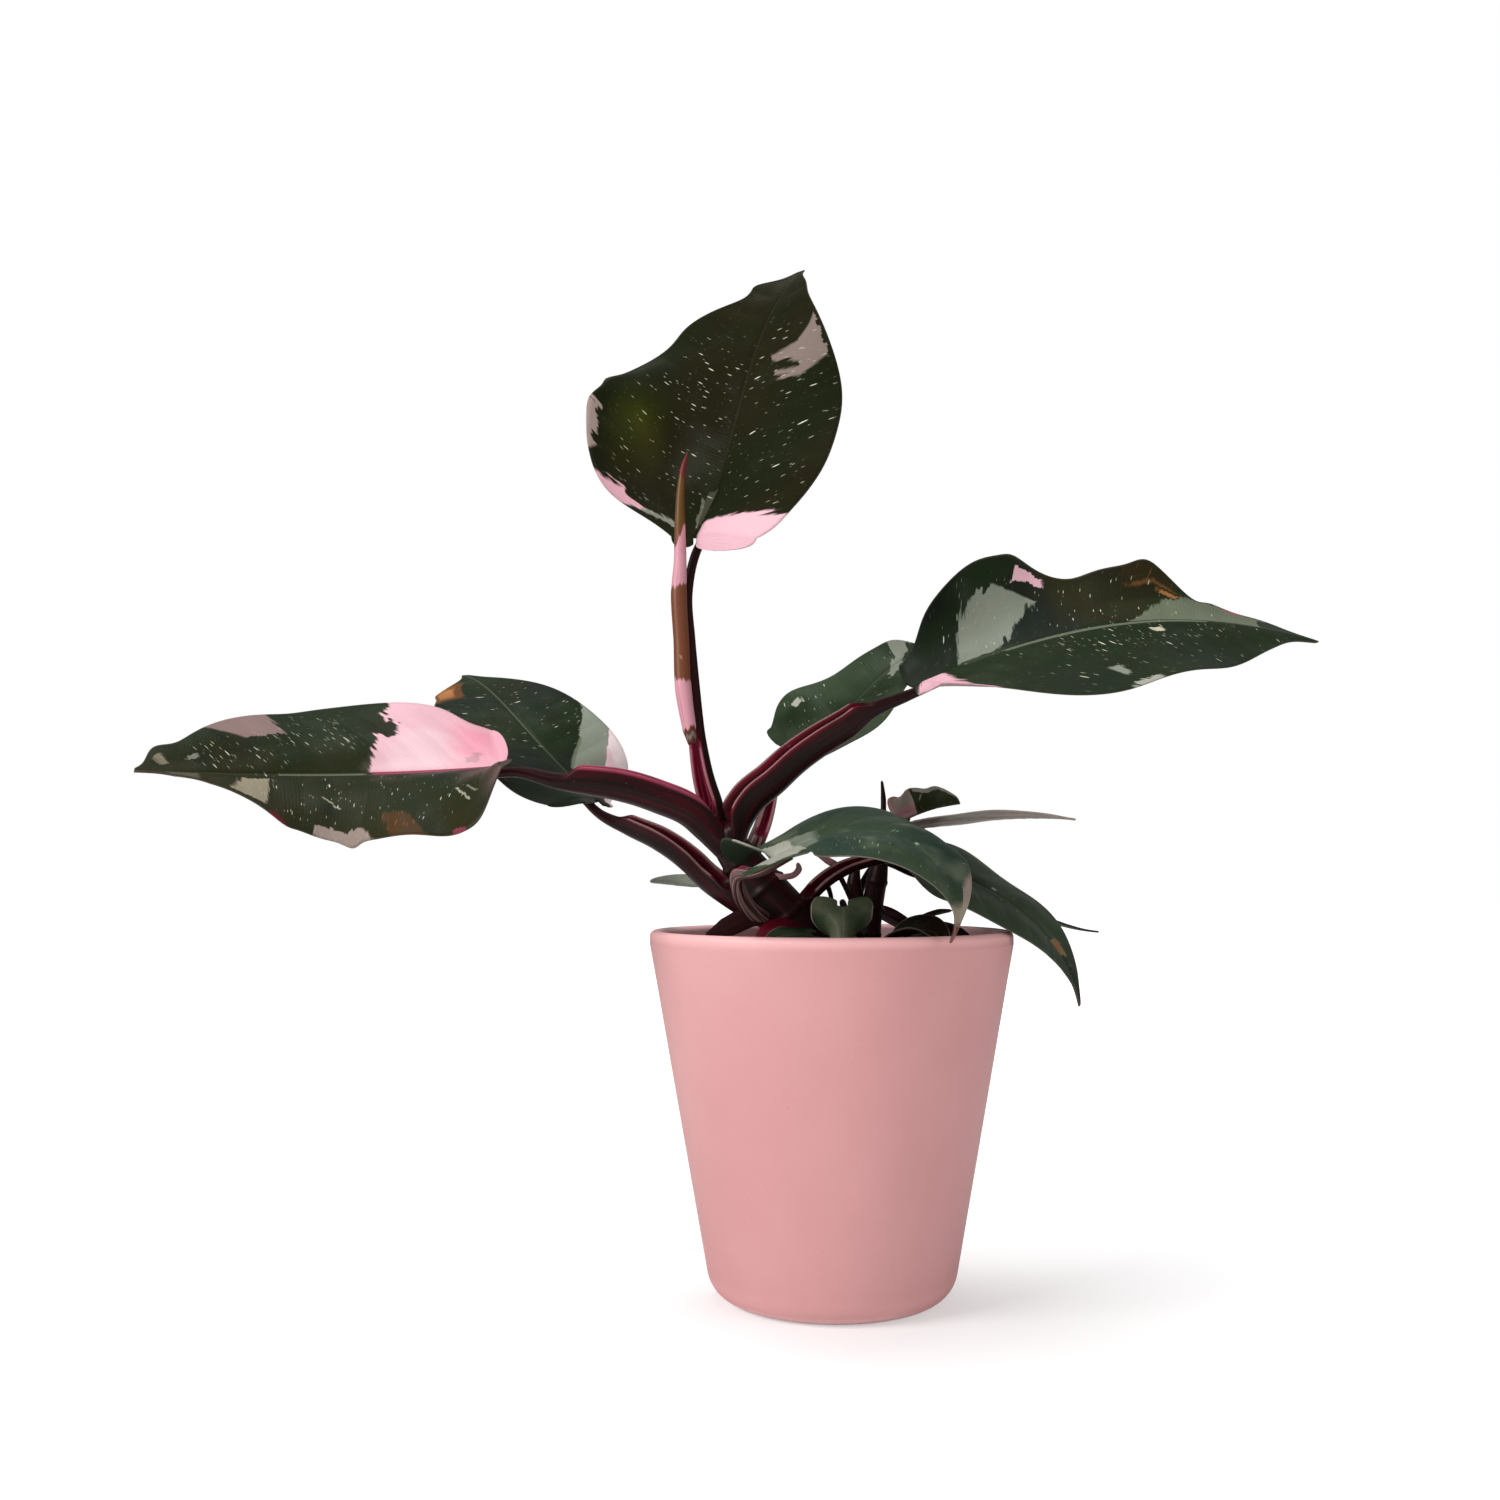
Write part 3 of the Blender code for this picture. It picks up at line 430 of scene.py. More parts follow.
# Where a margin swells or dips: the place along the blade, how far out, and how wide.
BUMPS = {
    "leaf_top": (((0.12, 4.5, 0.05), (0.36, 2.5, 0.06), (0.45, 2.5, 0.03), (0.72, 4.0, 0.06),
                  (0.83, -2.5, 0.04), (0.905, 5.5, 0.035)),
                 ((0.02, 2.5, 0.05), (0.22, 2.0, 0.12), (0.90, 2.5, 0.05))),
    "leaf_left": (((0.10, 2.0, 0.05), (0.52, 3.0, 0.025), (0.70, 3.0, 0.04), (0.93, 2.5, 0.015)),
                  ((0.05, -3.5, 0.04), (0.48, -1.5, 0.06), (0.90, 6.0, 0.05))),
    "leaf_back_left": (((0.80, 5.0, 0.07),), ()),
    "leaf_right": (((0.12, 4.0, 0.06), (0.375, 3.0, 0.045), (0.49, -2.5, 0.05), (0.655, 4.5, 0.04),
                    (0.745, -5.0, 0.03), (0.90, 5.0, 0.05)),
                   ((0.30, 1.5, 0.08),)),
    "leaf_back_right": (((0.86, 4.0, 0.07),), ()),
}

LARGE_LEAVES = {
    "leaf_top": leaf(
        at=(-53, 6, 295), length=134, half=(60, 51),
        heading=(8, 38, 41), pitch=(64, 72, 41), bank=(-10, -14, 6),
        fold=(17, 6), curl=(17, -37), left_wave=(32, 1.48, 0.75), right_wave=(7, 1.74, -0.23),
        lobe=(4, 7), shoulder=(0.4, 1), droop=(30, 20)),
    "leaf_left": leaf(
        at=(-128, -12, 202.5), length=138.5, half=(51, 48.5),
        heading=(190, 218, 236), pitch=(-7, -2, -1), bank=(13, 44, 19),
        fold=(18, 7), curl=(-22, -9), left_wave=(12, 1.9, 0.52), right_wave=(23, 0.96, 0.26),
        lobe=(5, 5), shoulder=(0.91, 0.9)),
    "leaf_back_left": leaf(
        at=(-95, 34, 191.5), length=127.5, half=(44, 42.5),
        heading=(160, 125, 125), pitch=(41, 30, 13), bank=(-4, 11, 10),
        fold=(5, 3), curl=(-22, -12), left_wave=(16, 2.25, -0.24), right_wave=(-3, 1.87, 0.31),
        lobe=(4, 4), shoulder=(0.94, 0.43)),
    "leaf_right": leaf(
        at=(35.5, -4, 236), length=179, half=(50.5, 59.5),
        heading=(-0.5, 18.5, 3.5), pitch=(23, 8.5, -15.5), bank=(-13, -35, -34.5),
        fold=(-18.5, -1.5), curl=(66, 12), left_wave=(19, 2.55, -0.46), right_wave=(8, 1.7, 0.41),
        lobe=(3, 6), shoulder=(0.86, 0.93), droop=(0, 10)),
    "leaf_back_right": leaf(
        at=(-15, 36, 213.5), length=84, half=(35, 33.5),
        heading=(15.5, 24, 29.5), pitch=(14.5, 43.5, 3), bank=(-20.5, -12.5, -30.5),
        fold=(17, 9), curl=(-19.5, -10), left_wave=(-19, 1.46, 0.3), right_wave=(5, 2, 0.1),
        lobe=(4, 5), shoulder=(0.7, 1), droop=(14, 0)),
    "leaf_front": leaf(
        at=(-22.5, -45, 168), length=95.5, half=(33.5, 38),
        heading=(22, -30.5, 1), pitch=(25.5, -18, -114), bank=(-13, -19, -13.5),
        fold=(8.5, 17.5), curl=(-39.5, -5.5), left_wave=(-27, 1.41, -0.58), right_wave=(23, 0.6, 0.51),
        lobe=(10.5, 19.5), shoulder=(1.14, 0.89), droop=(-87, -1)),
    "leaf_front_low": leaf(
        at=(30, 2, 168), length=92.5, half=(35, 35.5),
        heading=(-3.5, -7, -8), pitch=(-17.5, -37, -83), bank=(-19, -17, -17),
        fold=(5.5, 7.5), curl=(-17, -15.5), left_wave=(-6, 1.9, 0.4), right_wave=(-2, 1.9, 0.24),
        lobe=(6, 6), shoulder=(1, 0.45)),
}

SMALL_LEAVES = {
    "leaf_young_cupped": leaf(
        at=(29.5, 21, 183.5), length=25, half=(11, 10),
        heading=(8, 4, -6), pitch=(24, 14, 6), bank=(-14, -10, -6),
        fold=(18, 62), curl=(30, 40), left_wave=(18, 2.2, 0.2), right_wave=(24, 2.4, 0.6),
        lobe=(2, 2), blunt=0.8, rib=RIB_HALF_SMALL),
    "leaf_young_narrow": leaf(
        at=(35, 18, 180.3), length=66, half=(10, 10),
        heading=(6, 5, 3), pitch=(10, 3, -7), bank=(11, 12, 8),
        fold=(6, 6), curl=(-8, -8), left_wave=(4, 2, 0.1), right_wave=(3, 2, 0.3),
        lobe=(3, 3), rib=RIB_HALF_SMALL),
    "leaf_low_right": leaf(
        at=(40.5, 34, 161.5), length=77.5, half=(8, 8),
        heading=(7, 7, 6), pitch=(-14, -23, -4), bank=(6, 6, 4),
        fold=(8, 8), curl=(0, 0), left_wave=(3, 2, 0.1), right_wave=(3, 2, 0.3),
        lobe=(3, 3), rib=RIB_HALF_SMALL),
    "leaf_pale_left": leaf(
        at=(-46, 21, 157.5), length=26, half=(6, 6),
        heading=(173, 172, 170), pitch=(5, 2, -3), bank=(22, 22, 20),
        fold=(4, 4), curl=(0, 0), left_wave=(2, 1.5, 0.1), right_wave=(2, 1.5, 0.3),
        lobe=(2, 2), blunt=1, rib=RIB_HALF_SMALL),
    "leaf_heart_hanging": leaf(
        at=(3.5, -22, 149), length=25, half=(13, 13.5),
        heading=(270, 268, 265), pitch=(-52, -72, -84), bank=(0, 0, 0),
        fold=(-8, -6), curl=(-12, -10), left_wave=(146, 0.5, 0.5), right_wave=(142, 0.5, 0.5),
        lobe=(4, 4), rib=RIB_HALF_SMALL),
    "leaf_low_front": leaf(
        at=(-8, -17, 138.5), length=22, half=(7, 8),
        heading=(204, 204, 202), pitch=(6, -8, -26), bank=(20, 26, 20),
        fold=(4, 4), curl=(-20, -20), left_wave=(4, 1.5, 0.1), right_wave=(5, 1.5, 0.4),
        lobe=(3, 3), rib=RIB_HALF_SMALL),
    "leaf_low_narrow": leaf(
        at=(19, 34, 145.5), length=30, half=(5.5, 6.5),
        heading=(-15, -22, -28), pitch=(-12, -34, -40), bank=(-20, -24, -20),
        fold=(12, 12), curl=(6, 6), left_wave=(4, 1.5, 0.1), right_wave=(4, 1.5, 0.4),
        lobe=(2, 2), rib=RIB_HALF_SMALL),
    "leaf_low_curled": leaf(
        at=(24, -7, 135), length=30, half=(9, 9),
        heading=(330, 318, 300), pitch=(42, -5, -70), bank=(-15, -20, -15),
        fold=(14, 14), curl=(24, 30), left_wave=(4, 1.5, 0.1), right_wave=(4, 1.5, 0.4),
        lobe=(3, 3), rib=RIB_HALF_SMALL),
    "leaf_low_round": leaf(
        at=(30.5, 12, 136), length=31, half=(11, 11),
        heading=(6, 2, -4), pitch=(22, -6, -44), bank=(-26, -26, -22),
        fold=(6, 8), curl=(-16, -10), left_wave=(6, 1.5, 0.1), right_wave=(4, 1.5, 0.4),
        lobe=(3, 3), rib=RIB_HALF_SMALL),
}
ALL_LEAVES = {name: dict(measures, name=name) for name, measures in {**LARGE_LEAVES, **SMALL_LEAVES}.items()}

# %% [markdown]
# ## The form of a blade
#
# The grid of a blade runs from the attachment to the tip and from the midrib to the margin. Side veins leave
# the midrib and bend towards the tip, and the blade swells a little between them, so each point also gets a
# vein coordinate: the place on the midrib where the side vein through that point starts. The swelling is a
# row of low cushions along that coordinate. The underside carries the midrib as a rounded ridge, and the
# blade is thinnest at its margin.

# %% Blade surfaces
LOBE_TIP = 0.03
BLADE_THICK = 0.75
MARGIN_THICK = 0.35
RIB_SPREAD = 1.5
GROOVE_DEPTH = 0.25
GROOVE_HALF = 0.9
VEIN_LEAN = 0.25
VEIN_ARCH = 0.25
VEIN_FAN = 30.0
CUSHION_HEIGHT = 0.34
RIPPLE_HEIGHT = 0.5


def midrib(leaf):
    """Points, tangents, right-hand directions and upper-face normals along the midrib, at even steps."""
    s = np.linspace(0, 1, 401)
    heading, pitch, bank = (np.radians(three_point(leaf[k], s)) for k in ("heading", "pitch", "bank"))
    along = np.stack([np.cos(pitch) * np.cos(heading), np.cos(pitch) * np.sin(heading), np.sin(pitch)], 1)
    steps = 0.5 * (along[1:] + along[:-1]) * leaf["length"] / (len(s) - 1)
    points = leaf["at"] + np.concatenate([np.zeros((1, 3)), np.cumsum(steps, axis=0)])
    level = np.stack([np.sin(heading), -np.cos(heading), 0 * heading], 1)
    lifted = np.cross(level, along)
    right = level * np.cos(bank)[:, None] + lifted * np.sin(bank)[:, None]
    return s, points, along, right, np.cross(right, along)


def vein_coordinate(x, w, width):
    """Where on the midrib the side vein through a point starts. A vein runs as x = start + lean * w +
    arch * w * w / width. Behind the first one, veins fan out from the attachment, and the coordinate
    is how far round the fan a point lies, below zero."""
    bent = x - VEIN_ARCH * w * w / width
    fan = VEIN_FAN * (bent / np.maximum(w, 0.5) - VEIN_LEAN)
    return np.where(bent > VEIN_LEAN * w, bent - VEIN_LEAN * w, fan)


def half_blade(leaf, k, rows, lobe_rows, columns):
    """One half of a blade as rows of points from its basal lobe to the tip, and the notes of each point.

    A half is laid out as an angle that starts at the fold and grows with the curl and the waves, and the
    distance from the midrib is turned by that angle. Behind the attachment it ends in half an ellipse.
    """
    s_mid, p, t, r, n = midrib(leaf)
    side = (-1, 1)[k]
    width, lobe = leaf["half"][k], leaf["lobe"][k]
    s = np.linspace(0, 1, rows + 1)
    c = np.linspace(0, 1, columns + 1) ** 1.15
    turn = np.linspace(LOBE_TIP, 1, lobe_rows + 1)[:-1] * math.pi / 2
    shoulder = 1 - (1 - leaf["shoulder"][k]) * (1 - np.clip(s / SHOULDER_REACH, 0, 1)) ** 2
    share = hermite(OUTLINE_PLACES, OUTLINE_WIDTHS, s)[:, 0]
    rounded = np.sqrt(np.clip(1 - s ** 3, 0.04, 1))
    half = width * shoulder * (share + leaf["blunt"] * (rounded - share))
    for where, out, spread in BUMPS.get(leaf["name"], ((), ()))[k]:
        half = half + out * np.exp(-((s - where) / spread) ** 2)
    half = half * np.sqrt(np.clip(1 - (np.clip(s - 0.985, 0, 1) / 0.0151) ** 2, 0, 1)) + 0.02
    middle = 0.5 * half[0]
    reach = middle * np.sin(turn)
    inner = np.maximum(middle - reach, SINUS_HALF * leaf["rib"] / RIB_HALF)
    behind = inner[:, None] + (middle + reach - inner)[:, None] * c
    across = np.vstack([behind, half[:, None] * c])
    x = np.concatenate([-np.cos(turn) * lobe, s * leaf["length"]])
    place = x / leaf["length"]
    size, count, phase = leaf["wave"][k]
    lift = leaf["curl"][k] + size * np.sin(2 * math.pi * (count * place + phase))
    angle = np.radians(leaf["fold"][k] + lift[:, None] * across / width / 2)
    out, high = across * np.cos(angle), across * np.sin(angle)
    here = np.clip(place, 0, 1)
    centre, right, normal = (np.stack([np.interp(here, s_mid, a[:, j]) for j in range(3)], 1)
                             for a in (p, r, n))
    behind_by = np.minimum(x, 0)
    centre = centre + behind_by[:, None] * t[0]
    centre = centre + (behind_by * math.sin(math.radians(leaf["droop"][k])))[:, None] * n[0]
    points = centre[:, None] + side * out[..., None] * right[:, None] + high[..., None] * normal[:, None]
    local_half = np.concatenate([np.full(lobe_rows, half[0]), half])
    x_all = np.broadcast_to(x[:, None], across.shape)
    share_across = side * across / local_half[:, None]
    vein = vein_coordinate(x_all, across, width)
    notes = np.stack([np.broadcast_to(place[:, None], across.shape), share_across, x_all, side * across, vein],
                     -1)
    return points, notes


def blade_surface(leaf, rows, lobe_rows, columns, spacing):
    """The closed blade: two halves that share their points on the midrib, cushions, ridge and rim."""
    halves = [half_blade(leaf, k, rows, lobe_rows, columns) for k in (0, 1)]
    points = np.concatenate([h[0].reshape(-1, 3) for h in halves])
    notes = np.concatenate([h[1].reshape(-1, 5) for h in halves])
    shape = halves[0][0].shape[:2]
    left = np.arange(shape[0] * shape[1]).reshape(shape)
    right = left + left.size
    right[lobe_rows:, 0] = left[lobe_rows:, 0]
    quads = np.concatenate([grid_quads(left)[:, ::-1], grid_quads(right)])
    used, inverse = np.unique(quads, return_inverse=True)
    points, notes = points[used], notes[used]
    quads = inverse.reshape(-1, 4)
    normals = point_normals(points, quads)
    if (normals * np.array(midrib(leaf)[4].mean(0))).sum() < 0:
        quads, normals = quads[:, ::-1], -normals
    place, share, x, w, vein = notes.T
    far = np.abs(w)
    size = leaf["rib"] / RIB_HALF
    cushion = np.abs(np.sin(math.pi * vein / spacing)) ** 0.7
    fade = smooth_step(far, 0.5, 8 * size) * (1 - np.abs(share) ** 6)
    ripple = np.sin(0.16 * x + 0.11 * w + 1.3) * np.sin(0.13 * w - 0.07 * x + 0.4)
    groove = np.exp(-(far / (GROOVE_HALF * size)) ** 2) * smooth_step(-place, -1.0, -0.7) * (place >= 0)
    relief = (CUSHION_HEIGHT * size * (cushion - 1) * fade + RIPPLE_HEIGHT * size * ripple * fade
              - GROOVE_DEPTH * size * groove)
    upper = points + normals * relief[:, None]
    ridge_half = RIB_SPREAD * leaf["rib"] * (1 - RIB_TAPER * np.clip(place, 0, 1))
    ridge = np.sqrt(np.clip(1 - (far / ridge_half) ** 2, 0, 1)) * (place >= 0)
    rib_depth = RIB_DEPTH * size * (1 - RIB_FADE * np.clip(place, 0, 1))
    skin = BLADE_THICK + (MARGIN_THICK - BLADE_THICK) * np.abs(share) ** 8
    depth = skin + np.maximum(rib_depth - skin, 0) * ridge
    closed, faces = close_sheet(upper, quads, depth, normals)
    under = np.repeat([0.0, 1.0], len(points))
    twice = np.concatenate([notes, notes])
    return closed, faces, {"place": np.stack([twice[:, 0], twice[:, 1], under], 1), "vein": twice[:, 2:]}


# %% [markdown]
# ## How the colour patches work
#
# A pink princess is two plants in one skin: cells without green lie among cells with green, and both grow out
# in strips along the side veins. That is why a patch has a stepped edge and comes in blocks. A patch here is a
# four-sided area on the blade, given by two shares of the half width and the places along the blade where it
# starts and ends at each. The point that is tested is first shifted by a draw for each narrow strip along the
# veins, which makes the steps. Flecks are small cells that are stretched along the veins.

# %% Patch, fleck and vein groups
def make_ragged_group():
    """Shifts the place on a blade by a draw for each strip between two fine veins."""
    tree, w, given, results = new_group(
        "ragged_place", {"Place": VECTOR, "Vein": VECTOR, "Shift Along": NUMBER, "Shift Across": NUMBER,
                         "Strip": NUMBER, "Seed": NUMBER},
        {"Along": NUMBER, "Across": NUMBER})
    along, across, _ = w.parts(given["Place"])
    _, out, vein = w.parts(given["Vein"])
    strip = w.maths("FLOOR", w.maths("DIVIDE", vein, given["Strip"]))
    stepped = w.noise(w.vector(w.maths("MULTIPLY", strip, 0.37), 0.0, given["Seed"]), 5.0, 0.0)
    fine = w.noise(w.vector(w.maths("MULTIPLY", vein, 0.8), w.maths("MULTIPLY", out, 0.25), given["Seed"]), 1.0,
                   3.0)
    draw = w.maths("ADD", w.maths("MULTIPLY", w.maths("SUBTRACT", stepped, 0.5), 2.0),
                   w.maths("SUBTRACT", fine, 0.5))
    w.plug(results["Along"], w.maths("ADD", along, w.maths("MULTIPLY", draw, given["Shift Along"])))
    off_midrib = w.step(w.maths("ABSOLUTE", across), 0.02, 0.16)
    shift = w.maths("MULTIPLY", w.maths("MULTIPLY", draw, given["Shift Across"]), off_midrib)
    w.plug(results["Across"], w.maths("ADD", across, shift))
    return tree


def make_patch_group():
    """1 inside a four-sided area, 0 outside, with a narrow soft edge."""
    tree, w, given, results = new_group(
        "patch", {"Along": NUMBER, "Across": NUMBER, "From": NUMBER, "To": NUMBER, "Low From": NUMBER,
                  "High From": NUMBER, "Low To": NUMBER, "High To": NUMBER, "Soft": NUMBER},
        {"Mask": NUMBER})
    along, across, soft = given["Along"], given["Across"], given["Soft"]
    width = w.maths("SUBTRACT", given["To"], given["From"])
    share = w.maths("DIVIDE", w.maths("SUBTRACT", across, given["From"]), width, clamp=True)

    def between(first, last):
        return w.maths("MULTIPLY_ADD", w.maths("SUBTRACT", last, first), share, first)

    insides = [w.maths("SUBTRACT", along, between(given["Low From"], given["Low To"])),
               w.maths("SUBTRACT", between(given["High From"], given["High To"]), along),
               w.maths("SUBTRACT", across, given["From"]), w.maths("SUBTRACT", given["To"], across)]
    mask = 1.0
    for inside in insides:
        mask = w.maths("MULTIPLY", mask, w.step(inside, w.maths("MULTIPLY", soft, -1.0), soft))
    w.plug(results["Mask"], mask)
    return tree


def make_fleck_group():
    """Small spots that are stretched along the veins. Density is the share of the cells that hold one."""
    tree, w, given, results = new_group(
        "flecks", {"Vein": VECTOR, "Size": NUMBER, "Stretch": NUMBER, "Density": NUMBER, "Seed": NUMBER},
        {"Mask": NUMBER})
    _, out, vein = w.parts(given["Vein"])
    cell = w.put("ShaderNodeTexVoronoi")
    w.plug(cell.inputs["Scale"], 1.0)
    w.plug(cell.inputs["Vector"], w.vector(
        w.maths("DIVIDE", vein, given["Size"]),
        w.maths("DIVIDE", out, w.maths("MULTIPLY", given["Size"], given["Stretch"])), given["Seed"]))
    draw = w.parts(cell.outputs["Color"])
    held = w.maths("LESS_THAN", draw[0], given["Density"])
    radius = w.maths("MULTIPLY_ADD", draw[1], 0.22, 0.1)
    spot = w.maths("SUBTRACT", 1.0, w.step(cell.outputs["Distance"], w.maths("MULTIPLY", radius, 0.6), radius))
    w.plug(results["Mask"], w.maths("MULTIPLY", spot, held))
    return tree


def make_vein_group():
    """Height of the fine parallel veins and of the pores between them."""
    tree, w, given, results = new_group("fine_veins", {"Vein": VECTOR}, {"Height": NUMBER, "Line": NUMBER})
    _, out, vein = w.parts(given["Vein"])
    line = w.maths("ABSOLUTE", w.maths("SINE", w.maths("MULTIPLY", vein, 2.1)))
    uneven = w.noise(w.vector(w.maths("MULTIPLY", vein, 1.7), w.maths("MULTIPLY", out, 0.12), 0.0), 1.0, 4.0)
    w.plug(results["Line"], uneven)
    w.plug(results["Height"], w.maths("MULTIPLY_ADD", line, 0.35, uneven))
    return tree


RAGGED = make_ragged_group()
PATCH = make_patch_group()
FLECKS = make_fleck_group()
FINE_VEINS = make_vein_group()

# %% [markdown]
# ## The look of each blade
#
# No two blades of this plant are alike, so each has its own list of patches. A patch is a colour, the two
# shares of the half width between which it lies (left of the midrib is below zero, and 1.2 is past the
# margin), and at each of the two the places along the blade where it starts and ends. A line of flecks has the
# same form, with the share of the cells that hold a fleck.

# %% Table of patches
PAST = 1.2


def patch(tone, across, start, end, soft=0.006, cover=1.0, streaky=0.0):
    """A patch: where it lies across the blade, and its limits along the blade at its start and its end.
    A soft one has a wide edge, a cover below 1 lets the green through, and a streaky one is broken up."""
    return dict(tone=tone, across=across, start=start, end=end, soft=soft, cover=cover, streaky=streaky)


def flecks(tone, density, across=(-0.92, 0.92), start=(0.08, 0.92)):
    """An area of flecks, with the share of its cells that hold one."""
    return dict(tone=tone, density=density, across=across, start=start, end=start)


def look(ground, second, third, patches=(), spots=(), under="under_red", rib_line=0.12, edge_line=0.12, wax=1.0):
    """Three tones of green, the patches and flecks on them, the underside, and how strong the pale line on
    the midrib, the pale edge and the waxy highlights are."""
    return dict(ground=ground, second=second, third=third, patches=patches, flecks=spots, under=under,
                rib_line=rib_line, edge_line=edge_line, wax=wax)


